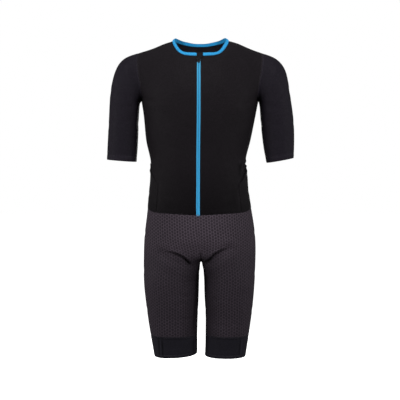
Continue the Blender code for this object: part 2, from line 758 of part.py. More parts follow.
def clip_outline(width, back_width):
    """The I-shaped section that grips both tapes: front plate, web, back plate."""
    front_near, front_far = -PLATE_GAP, -PLATE_GAP - PLATE
    back_near = CLOTH + PLATE_GAP
    back_far = back_near + PLATE
    half, half_back, half_web = width / 2, back_width / 2, WEB / 2
    right = [(half, front_far), (half, front_near), (half_web, front_near), (half_web, back_near),
             (half_back, back_near), (half_back, back_far)]
    return right + [(-x, y) for x, y in reversed(right)]


def helper_from_primitive(name, matrix, cutters):
    """Name the primitive just added, place it, and hide it among the cutters."""
    item = bpy.context.object
    item.name = name
    item.matrix_world = matrix
    for other in list(item.users_collection):
        other.objects.unlink(item)
    cutters.objects.link(item)
    hide_helper(item)
    return item


def hide_helper(item):
    item.hide_render = True
    item.display_type = "WIRE"


def add_boolean(item, helper, operation):
    modifier = item.modifiers.new(helper.name, "BOOLEAN")
    modifier.operation = operation
    modifier.solver = "EXACT"
    modifier.object = helper


def bail_outline():
    """The slider's bail seen from the side: local y out of the plate, local x along the zip."""
    half = BAIL_LENGTH / 2
    top = BAIL_INSIDE + BAIL_BAR
    sink = PLATE / 2
    outer = [(-half, -sink), (-half, top - BAIL_CHAMFER), (-half + BAIL_CHAMFER, top),
             (half - BAIL_CHAMFER, top), (half, top - BAIL_CHAMFER), (half, -sink)]
    inside = half - BAIL_BAR
    inner = [(inside, -sink), (inside, BAIL_INSIDE), (-inside, BAIL_INSIDE), (-inside, -sink)]
    return outer + inner


def add_slider(line, group, cutters):
    place, up, out = line_frame(line, SLIDER_TOP_Z - SLIDER_LENGTH / 2)
    place = place + up * (SLIDER_LENGTH / 2)
    frame = frame_matrix(place, up, out)
    outline = clip_outline(SLIDER_WIDTH, SLIDER_BACK_WIDTH)
    mesh = extruded("zip_slider", outline, SLIDER_LENGTH)
    slider = add_object("zip_slider", mesh, group, "slider_paint")
    slider.matrix_world = frame
    bail_mesh = extruded("slider_bail", bail_outline(), BAIL_WIDTH)
    # the bail's outline lies in the plane across the pin: x runs down the zip, y out of the plate
    turn = Matrix(((0, 0, 1, BAIL_WIDTH / 2), (0, -1, 0, -PLATE_GAP - PLATE),
                   (-1, 0, 0, -SLIDER_LENGTH / 2), (0, 0, 0, 1)))
    bail_mesh.transform(turn)
    bail = add_object("slider_bail", bail_mesh, cutters)
    bail.matrix_world = frame
    hide_helper(bail)
    add_boolean(slider, bail, "UNION")
    pin = frame @ Vector((0, -PLATE_GAP - PLATE - BAIL_INSIDE / 2, -SLIDER_LENGTH / 2))
    return pin, frame


def pull_outline():
    """Half-round plate hanging from the pin: x across, z down from the pin, as (x, z)."""
    half = PULL_WIDTH / 2
    neck = PULL_SLOT_WIDTH / 2 + PULL_CHEEK
    foot = PULL_LENGTH - half
    sides = [(neck, 0), (neck, -PULL_WAIST), (half, -PULL_SHOULDER), (half, -foot)]
    turns = [math.pi * step / PULL_ARC_STEPS for step in range(1, PULL_ARC_STEPS)]
    arc = [(half * math.cos(turn), -foot - half * math.sin(turn)) for turn in turns]
    return sides + arc + [(-x, z) for x, z in reversed(sides)]


def add_pull(pin, frame, group, cutters):
    """The pull tab hangs on the bail by its pin, along the zip. Its origin is on the pin's axis."""
    mesh = extruded("zip_pull", pull_outline(), PULL_THICK)
    # the outline's second axis becomes z, and the thickness is centred on the pin
    mesh.transform(Matrix(((1, 0, 0, 0), (0, 0, 1, PULL_THICK / 2), (0, 1, 0, 0), (0, 0, 0, 1))))
    bm = bmesh.new()
    bm.from_mesh(mesh)
    bmesh.ops.recalc_face_normals(bm, faces=bm.faces)
    bm.to_mesh(mesh)
    bm.free()
    pull = add_object("zip_pull", mesh, group, "slider_paint")
    turn = frame.copy()
    turn.translation = pin
    pull.matrix_world = turn
    bpy.ops.mesh.primitive_cube_add(size=1)
    slot_size = (PULL_SLOT_WIDTH, PULL_THICK * 3, PULL_SLOT_LENGTH - PIN_RADIUS, 1)
    slot_place = Matrix.Translation((0, 0, -(PULL_SLOT_LENGTH + PIN_RADIUS) / 2))
    slot = helper_from_primitive("pull_slot", turn @ slot_place @ Matrix.Diagonal(slot_size), cutters)
    pin_length = PULL_SLOT_WIDTH + 2 * PIN_OVERHANG
    bpy.ops.mesh.primitive_cylinder_add(vertices=PIN_SIDES, radius=PIN_RADIUS, depth=pin_length)
    rod = helper_from_primitive("pull_pin", turn @ Matrix.Rotation(math.pi / 2, 4, "Y"), cutters)
    add_boolean(pull, slot, "DIFFERENCE")
    add_boolean(pull, rod, "UNION")


def add_stop(line, group):
    height = line[-1][2] + STOP_FOOT + STOP_LENGTH
    place, up, out = line_frame(line, height - STOP_LENGTH / 2)
    place = place + up * (STOP_LENGTH / 2)
    mesh = extruded("zip_stop", clip_outline(STOP_WIDTH, STOP_BACK_WIDTH), STOP_LENGTH)
    stop = add_object("zip_stop", mesh, group, "zip_plastic")
    stop.matrix_world = frame_matrix(place, up, out)


def ribbon(name, line, half_width, outset, wall, bow=0.0):
    """A flat strip along a line, moved out of the cloth; bow curves it round the neck."""
    across = (-1.0, -0.5, 0.0, 0.5, 1.0) if bow else (-1.0, 1.0)
    outer, inner = [], []
    for k, centre in enumerate(line):
        ahead, behind = line[max(k - 1, 0)], line[min(k + 1, len(line) - 1)]
        up = (ahead - behind).normalized()
        out = Vector((1, 0, 0)).cross(up).normalized()
        out = out if out.y < 0 else -out
        for share in across:
            x = share * half_width
            point = centre + Vector((x, 0, 0)) + out * outset - out * bow * x * x
            outer.append(point)
            inner.append(point - out * wall)
    count = len(across)
    faces = [(k * count + c, (k + 1) * count + c, (k + 1) * count + c + 1, k * count + c + 1)
             for k in range(len(line) - 1) for c in range(count - 1)]
    return wall_mesh(name, outer, inner, faces)


def add_chain(line, group):
    """The closed coil behind the tapes, from the bottom stop to the slider."""
    top = SLIDER_TOP_Z - SLIDER_LENGTH - CHAIN_END_GAP
    foot = line[-1][2] + STOP_FOOT + STOP_LENGTH + CHAIN_END_GAP
    heights = [z for z in line[:, 2] if foot + CHAIN_STEP < z < top - CHAIN_STEP]
    stops = [line_frame(line, z)[0] for z in [top] + heights + [foot]]
    mesh = ribbon("zip_chain", stops, CHAIN_WIDTH / 2, -CLOTH - LAY_GAP, CHAIN_THICK)
    add_object("zip_chain", mesh, group, "zip_plastic")


def add_garage(line, group):
    """A black flap over the top ends of the tapes and of the binding."""
    edge, seam = Vector(line[0]), Vector(line[2])
    up = (edge - seam).normalized()
    down = (Vector(line[3]) - seam).normalized()
    stops = [edge + up * GARAGE_ABOVE, edge, Vector(line[1]), seam, seam + down * GARAGE_BELOW]
    mesh = ribbon("zip_garage", stops, GARAGE_HALF, GARAGE_GAP + GARAGE_WALL, GARAGE_WALL, GARAGE_BOW)
    add_object("zip_garage", mesh, group, "body_knit")


# ---------------------------------------------------------------- the suit
def main():
    clear_scene()
    group = collection("triathlon_suit")
    cutters = collection("cutters")
    points, quads, marks = smooth_surface(build_cage(), cutters)
    quads = short_diagonals_first(points, quads)
    normals = vertex_normals(points, quads)
    points = points - normals * fold_depth(points, normals)[:, None]
    normals = vertex_normals(points, quads)
    surface = (points, quads, normals, marks)
    add_panels(surface, group)
    add_pockets(surface, group)
    line = centre_line(surface)
    pin, frame = add_slider(line, group, cutters)
    add_pull(pin, frame, group, cutters)
    add_stop(line, group)
    add_chain(line, group)
    add_garage(line, group)
    bpy.context.view_layer.update()


main()
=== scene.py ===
"""The looks of a short-sleeved triathlon suit, filled out with no wearer. Metres, +Z up, front towards -Y.

The cloth is drawn again from the part's own sections, with a finer surface, the small creases, the
seams and the sewing. Each shell lies where its solid lies.
"""
import math

import bmesh
import bpy
import numpy as np
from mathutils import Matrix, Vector
from mathutils.bvhtree import BVHTree


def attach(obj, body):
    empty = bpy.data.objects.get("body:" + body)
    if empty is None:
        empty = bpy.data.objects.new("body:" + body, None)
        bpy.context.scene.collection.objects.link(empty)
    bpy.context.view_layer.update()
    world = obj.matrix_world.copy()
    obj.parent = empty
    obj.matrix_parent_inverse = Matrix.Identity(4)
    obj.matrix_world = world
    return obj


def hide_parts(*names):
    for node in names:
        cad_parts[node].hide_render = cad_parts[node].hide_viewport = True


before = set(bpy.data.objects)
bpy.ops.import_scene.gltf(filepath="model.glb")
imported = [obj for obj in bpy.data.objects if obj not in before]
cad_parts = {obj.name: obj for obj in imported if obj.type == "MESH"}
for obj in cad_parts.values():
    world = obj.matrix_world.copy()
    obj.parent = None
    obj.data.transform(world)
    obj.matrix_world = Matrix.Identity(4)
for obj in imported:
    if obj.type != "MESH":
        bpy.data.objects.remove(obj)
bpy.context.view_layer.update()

# ---------------------------------------------------------------- driving dimensions (metres)
MM = 0.001
TINY = 1e-9  # stands for 0 where something is divided by a length
KNIT = 0.9 * MM  # wall of the knit as it shows at a hem
BAND = 1.3 * MM  # wall of the leg grippers
BOUND_EDGE = 2.0 * MM  # thickness of the folded neck binding
TAPE = 0.8 * MM  # zip tape
SOLID_CLOTH = 1.5 * MM  # wall of the part's cloth
SEAM_GAP = 0.3 * MM  # space between two pieces along a seam
POCKET_LIFT = 1.2 * MM  # how far the pockets' outer face stands off the body's
SMOOTHING = 3  # subdivision levels of the cage
FINE_SMOOTHING = 4  # levels for the pieces with sharp creases
FINE_PIECES = ("shorts_front",)
FITTING_ROUNDS = 2  # times that the cage is pushed out to its sections
SHARP_FOLD = math.radians(50)  # between two pieces that meet at a real corner
SHADE_ANGLE = math.radians(40)
MITRE_FLOOR = 0.4  # these two keep corners from running far out
LEAN_FLOOR = 0.7
SEAM_SINK = 0.45 * MM  # how far an edge sinks into its seam
TAPE_SINK = 0.15 * MM
TAPE_SPLIT = 1.2 * MM  # space between the two tapes
ALLOWANCE = 0.8 * MM  # how far a piece's inside reaches under its neighbour along a seam

ROUNDNESS = 2.3  # power of the body's rounded sections: 2 is an ellipse
LEG_ROUNDNESS = 2.25  # of the legs and sleeves
ARC_STEPS = 180  # steps along a quarter section
SIDE_Y = 4  # depth at which the body is widest, mm

# Columns of the cage round half of the body: 0 centre front, 7 side seam, 14 centre back.
FRONT, ZIP_EDGE, POCKET_FRONT, ARM_FRONT, SIDE, ARM_BACK, POCKET_BACK, BACK_EDGE, BACK = (
    0, 1, 5, 6, 7, 8, 11, 13, 14)
NECK_FRONT, NECK_BACK = 4, 10  # the last columns that reach the neck, before and behind the shoulder
FRONT_SPACING = (0, 0.16, 0.31, 0.46, 0.62, 0.81, 1)
BACK_SPACING = (0, 0.17, 0.34, 0.51, 0.68, 0.84, 1)

# Body sections, mm. front_x is the line of the zip, back_x the middle of the back.
BODY = (
    # z, half_width, front_y, back_y, centre_x, front_x, back_x
    (-120, 184, -110, 112, 1, -2, 1),
    (-160, 178, -114, 115, 1.6, -2.2, 1),
    (-212, 167.9, -116, 114, 0.5, -2.4, 0),
    (-285, 157.7, -111, 105, -3.6, -3.4, -3),
    (-358, 141.3, -104, 91, -3.6, -4, -4),
    (-431, 150.5, -101, 86, -2, -4.2, -2),
    (-487, 157.5, -101, 97, 0.2, -4.4, 0),
    (-560, 168.2, -99, 119, 1.6, -1, 1.5),
    (-600, 170.6, -96, 124, 1.2, 3, 3),
    (-640, 171.2, -94, 121, 0.8, 5, 5),
)
ZIP_TOP_X = BODY[0][5]

# Rows of the cage down the body, mm.
ROW_COLUMNS = (FRONT, POCKET_FRONT, SIDE, POCKET_BACK, BACK)
ROWS = (
    # name, front, pocket_front, side, pocket_back, back, front_strip, back_strip, front_draw, back_draw
    ("armpit", -157, -157, -160, -157, -157, 6, 34, 0, 0),
    ("chest", -207, -205, -203, -203, -205, 6, 34, 0, 0),
    ("ribs", -262, -258, -248, -248, -250, 6, 34, 0, 0),
    ("above_pocket", -325, -322, -296, -296, -300, 6, 34, 0, 0),
    ("pocket_mouth", -394, -411, -350, -345, -350, 6, 34, 0, 0),
    ("pocket_middle", -450, -456, -425, -422, -425, 6, 34, 0, 0),
    ("waist", -502, -494, -482, -484, -486, 6, 34, 0, 0),
    ("belly", -545, -540, -533, -533, -534, 7, 30, 0, 3),
    ("hip", -586, -588, -588, -582, -578, 9, 17, 4, 10),
    ("fork", -622, -628, -636, -628, -618, 4.9, 4.9, 24, 34),
)
DRAW_SHARE = {0: 1.0, 1: 1.0, 2: 0.45, 3: 0.1, 11: 0.1, 12: 0.45, 13: 1.0, 14: 1.0}
ROW = {row[0]: number for number, row in enumerate(ROWS)}
ARMHOLE_RISE = 8  # how far the armhole's columns stand above the armpit row

# Seam between the body and the neck binding, and the shoulder seam, mm, left side.
NECK_X = 2.5
SHOULDER_SHIFT = {4: 1.5, 5: 2.5, 9: 2.5, 10: 1.5}  # to the wearer's left, by column
SHOULDER_LIFT = {(1, 4): 1.2, (1, 10): 1.2, (-1, 5): -0.6, (-1, 9): -0.6}  # by side and column
YOKE = (
    # column, x, y, z, roll_y, roll_z, rise, push
    (0, 0, -71, -29, 17, 33, 40, 0),
    (1, 6, -71, -29, 17, 33, 40, 0),
    (2, 36, -65, -26.5, 20, 30, 42, 0),
    (3, 66.5, -45, -15, 34, 25, 45, 0),
    (4, 87, 4, 21.5, 52, 14, 48, 0),
    (5, 138, 3, 1.5, 50, 12, 50, 2),
    (6, 186, 1, -15.5, 40, 8, 47, 9),
    (8, 186, 1, -15.5, -42, 8, 47, -9),
    (9, 138, 3, 1.5, -48, 10, 52, -2),
    (10, 87, 4, 21.5, -48, 10, 54, 0),
    (11, 68, 38, 17.5, -34, 20, 52, 0),
    (12, 45, 54, 13.5, -24, 27, 52, 0),
    (13, 22, 61, 9.5, -18, 30, 50, 0),
    (14, 0, 62, 9, -18, 30, 50, 0),
)
YOKE_ROWS = 4  # of quads, from the armpit row to the shoulder
ARMHOLE_SPREAD = {1: 8, -1: 11}  # how far the front of an armhole swings out, mm
SHOULDER_TWIN = {8: 6, 9: 5, 10: 4}  # columns at the back and the ones they meet at the shoulder seam

NECK_EDGE = (
    # column, x, y, z of the free edge of the neck binding, mm, left side
    (0, 0, -66.5, -18.7),
    (1, 6, -66.5, -18.7),
    (2, 32.5, -59.5, -16.6),
    (3, 59.2, -41.5, -8.8),
    (4, 77.5, 3, 28.4),
    (11, 62, 37, 26),
    (12, 41, 52.5, 21.8),
    (13, 20, 59, 17.8),
    (14, 0, 61, 17.3),
)
BINDING_WIDTH = 10.5  # mm, from the seam to the free edge

# Sleeve sections from the armhole to the cuff, mm. over is the outer line, under the inner one.
SLEEVE = {
    # over_x, over_z, under_x, under_z, half_depth, centre_y
    1: (
        (231, -33, 181.5, -171, 57, 1),
        (261, -70, 184, -193, 60, 1),
        (273, -133, 186.5, -225, 59, 0),
        (284, -204, 190, -263, 56.5, -2),
        (287.5, -272, 195.5, -305, 54, -4),
        (286, -332, 204, -347, 51, -6),
    ),
    -1: (
        (-228, -33.5, -180.5, -171, 57, 1),
        (-254.5, -71, -182.5, -193, 60, 1),
        (-269, -133, -184.5, -225, 59, 0),
        (-273.5, -204, -185.5, -263, 56.5, -2),
        (-277.5, -274, -187.5, -304, 54, -4),
        (-280.5, -337, -191, -344, 51, -6),
    ),
}
SLEEVE_POINTS = 10  # round a sleeve

CROTCH = (
    # y, z
    (-43, -643),
    (3, -652),
    (50, -646),
)
CROTCH_X = 5.0  # middle of the strip between the legs, mm
CROTCH_HALF = 2.6  # half its width

LEG = (
    # z, left_outer_x, left_inner_x, right_outer_x, right_inner_x, front_y, back_y
    (-694, 170.2, 13.6, -170.6, -0.4, -87, 104),
    (-742, 167.4, 15.2, -167.8, -2, -85, 96),
    (-785, 163.4, 17.6, -162.6, -3.7, -81.5, 89),
    (-828, 158.2, 19.5, -157, -5.8, -76, 82),
    (-871, 152.2, 18.6, -150.4, -6.4, -70, 75),
    (-905, 147.6, 18, -144.8, -6.3, -65, 70),
    (-939, 142.3, 16.8, -138.9, -6.3, -60, 65),
)
LEG_POINTS = 16  # round a leg
GRIPPER_RING = 5  # where the grippers begin, counted from the fork
HEM_RISE = {1: 1, -1: 8.5}  # at the inner side, mm
HEM_CURVE = 1.6  # the higher, the nearer to the inner side the hem rises
LEG_REFERENCE = {True: 3, False: 9}  # leg point over which the knit runs straight down, front and back

# Folds: soft troughs (depth above 0) or ridges (below 0), mm. Places are (x, z) on the front and
# back, and (y, z) on the left and right faces. Those with two places are the part's own largest
# folds. The others are creases at the groin, thighs, hips, seat, armpits and waist, pulls beside
# the zip, and the gathers where the pockets' mouths meet the sides.
FACES = {"front": (0, -1), "back": (0, 1), "left": (1, 1), "right": (1, -1)}
FOLDS = {
    # (region, face): rows of depth, width and the places on the fold's line
    ("shorts", "front"): (
        (3.5, 14, (-112, -618), (-28, -652)),
        (3.5, 14, (88, -602), (34, -642)),
        (1, 8, (-96, -634), (-66, -642), (-44, -662)),
        (0.8, 7, (82, -614), (62, -628), (46, -650)),
        (0.9, 5, (-72, -664), (-40, -670), (-8, -676)),
        (0.8, 4.5, (-62, -700), (-36, -704), (-6, -702)),
        (0.7, 4.5, (-66, -742), (-38, -748), (-8, -744)),
        (0.7, 5, (-60, -812), (-34, -818), (-10, -814)),
        (0.7, 5, (22, -690), (44, -696), (70, -690)),
        (0.6, 5, (22, -752), (48, -758), (74, -750)),
        (0.6, 6, (30, -826), (64, -836), (92, -832)),
    ),
    ("shorts", "back"): (
        (2.8, 17, (-105, -652), (-22, -662)),
        (2.8, 17, (112, -650), (30, -662)),
        (1, 8, (-126, -642), (-84, -660), (-40, -668)),
        (0.9, 8, (130, -638), (90, -656), (48, -668)),
        (0.9, 6, (-102, -688), (-64, -698), (-30, -694)),
        (0.8, 6, (108, -694), (70, -704), (36, -698)),
        (0.7, 6, (-90, -756), (-56, -764), (-24, -758)),
        (0.7, 6, (98, -748), (62, -757), (32, -752)),
        (0.8, 9, (-4, -540), (0, -572), (3, -606)),
    ),
    ("shorts", "left"): (
        (0.8, 7, (-52, -566), (-10, -560), (46, -568)),
        (0.7, 8, (-48, -676), (0, -684), (52, -678)),
        (0.6, 7, (-40, -802), (6, -796), (38, -803)),
    ),
    ("shorts", "right"): (
        (0.8, 7, (-50, -572), (4, -563), (50, -566)),
        (0.7, 8, (-44, -668), (6, -677), (48, -684)),
        (0.6, 7, (-38, -790), (0, -797), (42, -794)),
    ),
    ("top", "front"): (
        (1.5, 7, (-168, -148), (-150, -162), (-122, -172)),
        (1.3, 7, (170, -150), (152, -165), (126, -176)),
        (0.8, 6, (-162, -176), (-144, -190), (-126, -196)),
        (0.8, 6, (164, -180), (146, -196), (130, -203)),
        (0.7, 8, (-176, -96), (-160, -118), (-140, -132)),
        (0.7, 8, (178, -98), (160, -122), (142, -134)),
        (0.8, 7, (-136, -436), (-104, -444), (-64, -446)),
        (0.8, 7, (134, -430), (102, -439), (66, -442)),
        (0.7, 6, (-128, -472), (-92, -480), (-50, -481)),
        (0.7, 6, (128, -468), (94, -476), (48, -478)),
        (0.45, 6, (-12, -108), (-30, -113), (-46, -112)),
        (0.45, 6, (10, -124), (26, -130), (44, -128)),
        (0.4, 6, (-14, -176), (-30, -181), (-50, -178)),
        (0.4, 6, (8, -206), (26, -212), (42, -210)),
        (0.45, 7, (-16, -262), (-34, -268), (-56, -266)),
        (0.4, 6, (6, -296), (24, -301), (40, -298)),
        (0.45, 7, (-18, -352), (-36, -358), (-54, -354)),
        (0.4, 7, (5, -388), (24, -394), (46, -391)),
        (0.45, 6, (-18, -440), (-32, -445), (-46, -442)),
    ),
    ("top", "back"): (
        (2, 20, (-95, -452), (95, -446)),
        (1.5, 7, (-168, -150), (-146, -166), (-112, -178)),
        (1.4, 7, (170, -148), (150, -163), (118, -174)),
        (0.8, 7, (-160, -184), (-136, -200), (-110, -206)),
        (0.8, 7, (162, -180), (138, -197), (116, -204)),
        (1.1, 8, (-122, -404), (-72, -414), (-16, -412)),
        (1.1, 8, (124, -398), (78, -409), (24, -408)),
        (0.9, 7, (-112, -470), (-60, -476), (0, -474), (52, -476)),
        (0.8, 10, (-34, -70), (-44, -112), (-40, -158)),
        (0.8, 10, (40, -74), (48, -118), (42, -160)),
    ),
    ("top", "left"): (
        (-2.4, 4.4, (-66, -350), (-36, -344), (34, -340)),
        (-2.4, 4.4, (-74, -364), (-40, -358), (38, -353)),
        (-2.2, 4.8, (-80, -382), (-44, -375), (30, -369)),
        (1.8, 3.6, (-66, -357), (-36, -351), (32, -347)),
        (1.8, 3.6, (-76, -373), (-42, -366), (30, -361)),
        (0.8, 7, (-58, -428), (-10, -434), (44, -430)),
    ),
    ("top", "right"): (
        (-1.9, 5, (-72, -380), (-36, -374), (36, -368)),
        (-1.2, 5, (-62, -358), (-30, -352), (34, -347)),
        (1.2, 4.2, (-66, -369), (-34, -363), (34, -358)),
        (0.8, 7, (-56, -436), (-6, -442), (46, -436)),
    ),
    ("sleeves", "front"): (
        (1.3, 7, (-186, -166), (-206, -178), (-232, -182)),
        (1.2, 7, (188, -164), (210, -178), (238, -184)),
        (0.8, 7, (-190, -206), (-214, -222), (-244, -228)),
        (0.8, 7, (192, -214), (218, -230), (250, -234)),
        (0.6, 8, (-196, -270), (-222, -282), (-248, -282)),
        (0.6, 8, (200, -262), (228, -276), (258, -280)),
    ),
    ("sleeves", "back"): (
        (1.3, 7, (-186, -164), (-208, -180), (-238, -186)),
        (1.3, 7, (188, -168), (212, -182), (242, -188)),
        (0.8, 8, (-192, -222), (-220, -238), (-250, -240)),
        (0.8, 8, (194, -230), (222, -244), (254, -248)),
    ),
    ("sleeves", "left"): (
        (0.8, 9, (-30, -120), (2, -134), (30, -128)),
        (0.7, 9, (-34, -232), (-2, -226), (28, -236)),
    ),
    ("sleeves", "right"): (
        (0.8, 9, (-28, -128), (4, -138), (32, -130)),
        (0.7, 9, (-32, -240), (0, -232), (30, -238)),
    ),
}
# Tucks: the cloth above the line hangs over the cloth below it. Lines run from -X to +X.
TUCKS = {
    # (region, face): rows of depth, bulge, width, the share over which it starts and ends, places
    ("shorts", "front"): (
        (8, 2.6, 2.5, 0.45, 0.06,
         (-110, -611), (-83, -611.5), (-61.5, -617.5), (-45, -627), (-32, -640), (-22, -650)),
        (8, 2.6, 2.5, 0.06, 0.55, (14, -645), (31, -631), (44, -617), (65, -605), (90, -598)),
    ),
    ("shorts", "back"): (
        (1.6, 0.8, 5, 0.3, 0.15, (-118, -640), (-84, -652), (-44, -660), (-14, -664)),
        (1.6, 0.8, 5, 0.15, 0.3, (20, -664), (52, -660), (90, -650), (126, -636)),
    ),
}
# Painted shade (shadow above 0) and painted light (below 0) on the cloth: along creases, folds and seams,
# and in spots.
SHADED_LINES = {
    # (region, face): rows of shadow, width and the places on the line
    ("shorts", "front"): (
        (0.35, 2.8, (-83, -612.5), (-61.5, -618.5), (-45, -628), (-32, -641), (-22, -652)),
        (0.5, 3.4, (-44, -630), (-35, -639), (-28, -648)),
        (0.35, 2.8, (12, -648), (31, -632.5), (44, -618.5), (65, -606), (90, -599)),
        (0.5, 3.4, (16, -645), (26, -639), (36, -629)),
        (0.4, 3.4, (-8, -676), (-8, -724), (-13, -768), (-17, -813), (-19, -868)),
        (-0.4, 5, (19, -700), (19, -724), (22, -768), (24, -813), (23, -868)),
        (0.8, 2.2, (-123, -876), (-122, -900), (-121, -936)),
        (-0.6, 1.6, (-118, -878), (-117, -900), (-116, -931)),
        (0.8, 2.2, (-113, -878), (-112, -902), (-111, -936)),
        (0.6, 1.8, (-18, -882), (-18, -900), (-18, -930)),
        (0.6, 1.7, (124, -876), (122, -902), (120, -934)),
        (-0.5, 2.2, (130, -876), (128, -902), (125, -932)),
        (0.4, 2, (-144, -875), (-80, -875.5), (-12, -873)),
        (0.4, 2, (24, -873), (80, -875.5), (146, -873)),
        (-0.3, 1.6, (-132, -929), (-80, -930), (-24, -924)),
        (-0.3, 1.6, (30, -930), (80, -931), (132, -930)),
    ),
    ("top", "front"): (
        (0.6, 1.8, (116, -356), (128, -350), (138, -348)),
        (-0.9, 1.6, (117, -361), (129, -355), (139, -353)),
        (0.6, 1.8, (115, -367), (128, -361), (140, -358)),
        (-0.9, 1.6, (116, -373), (129, -366), (141, -363)),
        (0.6, 1.8, (116, -379), (129, -372), (142, -369)),
        (-0.7, 1.6, (118, -345), (129, -341), (138, -340)),
        (-0.35, 2, (-116, -396), (-118, -440), (-120, -480)),
        (-0.35, 2, (117, -386), (118, -440), (120, -480)),
    ),
    ("sleeves", "front"): (
        (-0.45, 5.5, (-276, -328), (-240, -330), (-196, -331)),
        (-0.25, 5.5, (208, -334), (245, -327), (282, -319)),
    ),
}
# Painted light along the armhole seams, by side.
ARMHOLE_PAINTED_LIGHT = {1: 0.75, -1: 0.45}
# Spots of painted shade and painted light: the crotch, the armpits, the neck binding's corners, the chest,
# waist and sides of the top, and paler spots on the sleeves, thighs and grippers.
SHADED_SPOTS = (
    # region, shadow, half_width, half_height, middle
    ("shorts", 0.5, 18, 10, (3, -639)),
    ("sleeves", 0.85, 6.5, 38, (-178, -172)),
    ("sleeves", 0.85, 6, 36, (180, -168)),
    ("top", 0.6, 8, 12, (-175, -152)),
    ("top", 0.6, 8, 12, (177, -152)),
    ("top", 0.5, 13, 9, (-60, 18)),
    ("top", 0.5, 13, 9, (65, 18)),
    ("top", 0.1, 32, 30, (98, -212)),
    ("top", 0.08, 28, 24, (-95, -195)),
    ("top", -0.06, 45, 90, (0, -345)),
    ("top", 0.14, 15, 45, (99, -458)),
    ("top", 0.07, 15, 40, (-99, -468)),
    ("sleeves", -0.2, 9, 55, (-195, -190)),
    ("sleeves", -0.15, 10, 50, (197, -190)),
    ("shorts", -0.1, 50, 30, (-83, -842)),
    ("shorts", -0.14, 50, 32, (80, -842)),
    ("shorts", -0.11, 60, 20, (-83, -920)),
    ("shorts", -0.1, 60, 18, (80, -922)),
)
MOUNDS = (
    # region, face, height, half_width, half_height, middle
    ("shorts", "front", 7, 34, 24, (3, -622)),
    ("shorts", "front", 7, 12, 22, (4, -632)),
)
MOUND_FROM = 30  # mm in front of y = 0, where a mound begins; it is full at twice this
LIP_SHARE = 0.3  # height of the low ridge beside a trough, share of its depth
LIP_REACH = 1.75  # how far from the trough's line it stands, in widths
LIP_WIDTH = 0.8
# Across a tuck, in widths from its line, up the face: where each form stands and how wide it is.
TUCK_TROUGH = (-0.3, 1.0)
TUCK_UNDER = (-2.6, 2.0)
TUCK_OVER = (2.0, 1.5)
UNDER_SHARE = 0.3  # depth of the cloth under a tuck, share of the trough's
FOLD_END = 0.25  # how much of a small fold is left at its ends
FOLD_FADE = 0.7  # how fast it gets there
SHADE_END = 0.2  # how much of a shaded line is left at its ends
SHADE_FADE = 0.15  # the share of the line over which it gets there
SHADOW_SPAN = (-1.0, 0.85)
ARMHOLE_LINE = 2.4  # width of the lines of painted light at the armholes, mm

PIECES = (
    # name, slot, wall, how far its edges stand back, (flat width, flat length), flat area
    ("front_left", "body_knit", KNIT, SEAM_GAP / 2, (0.262, 0.545), 0.106),
    ("front_right", "body_knit", KNIT, SEAM_GAP / 2, (0.262, 0.545), 0.103),
    ("back", "body_knit", KNIT, SEAM_GAP / 2, (0.480, 0.560), 0.210),
    ("sleeve_left", "sleeve_knit", KNIT, SEAM_GAP / 2, (0.400, 0.330), 0.093),
    ("sleeve_right", "sleeve_knit", KNIT, SEAM_GAP / 2, (0.400, 0.330), 0.093),
    ("zip_tape_left", "blue_zip_tape", TAPE, TAPE_SPLIT / 2, None, None),
    ("zip_tape_right", "blue_zip_tape", TAPE, TAPE_SPLIT / 2, None, None),
    ("neck_binding", "blue_binding", BOUND_EDGE, SEAM_GAP, (0.520, 0.013), 0.0065),
    ("shorts_front", "honeycomb_knit", KNIT, SEAM_GAP / 2, (0.560, 0.410), 0.185),
    ("shorts_back", "honeycomb_knit", KNIT, SEAM_GAP / 2, (0.600, 0.420), 0.194),
    ("gripper_left", "gripper_elastic", BAND, SEAM_GAP / 2, (0.445, 0.070), 0.030),
    ("gripper_right", "gripper_elastic", BAND, SEAM_GAP / 2, (0.445, 0.070), 0.030),
)
PIECE = {piece[0]: number for number, piece in enumerate(PIECES)}
REGIONS = {
    "sleeves": ("sleeve_left", "sleeve_right"),
    "shorts": ("shorts_front", "shorts_back", "gripper_left", "gripper_right"),
    "top": ("front_left", "front_right", "back", "zip_tape_left", "zip_tape_right", "neck_binding"),
}
SLEEVE_NUMBERS = [PIECE["sleeve_left"], PIECE["sleeve_right"]]
POCKET_MARK = 100
SIDE_NAME = {1: "left", -1: "right"}


def put(name, data):
    """A new object in the scene."""
    item = bpy.data.objects.new(name, data)
    bpy.context.scene.collection.objects.link(item)
    return item


# ---------------------------------------------------------------- section geometry, as in the part
def curve_through(table, column):
    """A smooth function of z through one column of a table, from cubic Hermite pieces."""
    rows = sorted(table, key=lambda row: row[0])
    z = np.array([row[0] for row in rows], float)
    value = np.array([row[column] for row in rows], float)
    slope = np.gradient(value, z)

    def at(height):
        height = min(max(height, z[0]), z[-1])
        k = min(int(np.searchsorted(z, height, side="right")) - 1, len(z) - 2)
        span = z[k + 1] - z[k]
        t = (height - z[k]) / span
        return float(
            (1 + 2 * t) * (1 - t) ** 2 * value[k]
            + t * (1 - t) ** 2 * span * slope[k]
            + t * t * (3 - 2 * t) * value[k + 1]
            - t * t * (1 - t) * span * slope[k + 1])
    return at


BODY_CURVES = [curve_through(BODY, column) for column in range(1, len(BODY[0]))]


def quarter_arc(half_width, depth, strip, shares):
    """Points on a quarter of a rounded section, from x = strip to the widest point."""
    angle = np.linspace(0, math.pi / 2, ARC_STEPS + 1)
    x = half_width * np.sin(angle) ** (2 / ROUNDNESS)
    y = depth * np.cos(angle) ** (2 / ROUNDNESS)
    length = np.concatenate(([0], np.cumsum(np.hypot(np.diff(x), np.diff(y)))))
    start = np.interp(strip, x, length)
    stops = start + (length[-1] - start) * np.array(shares)
    return np.interp(stops, length, x), np.interp(stops, length, y)


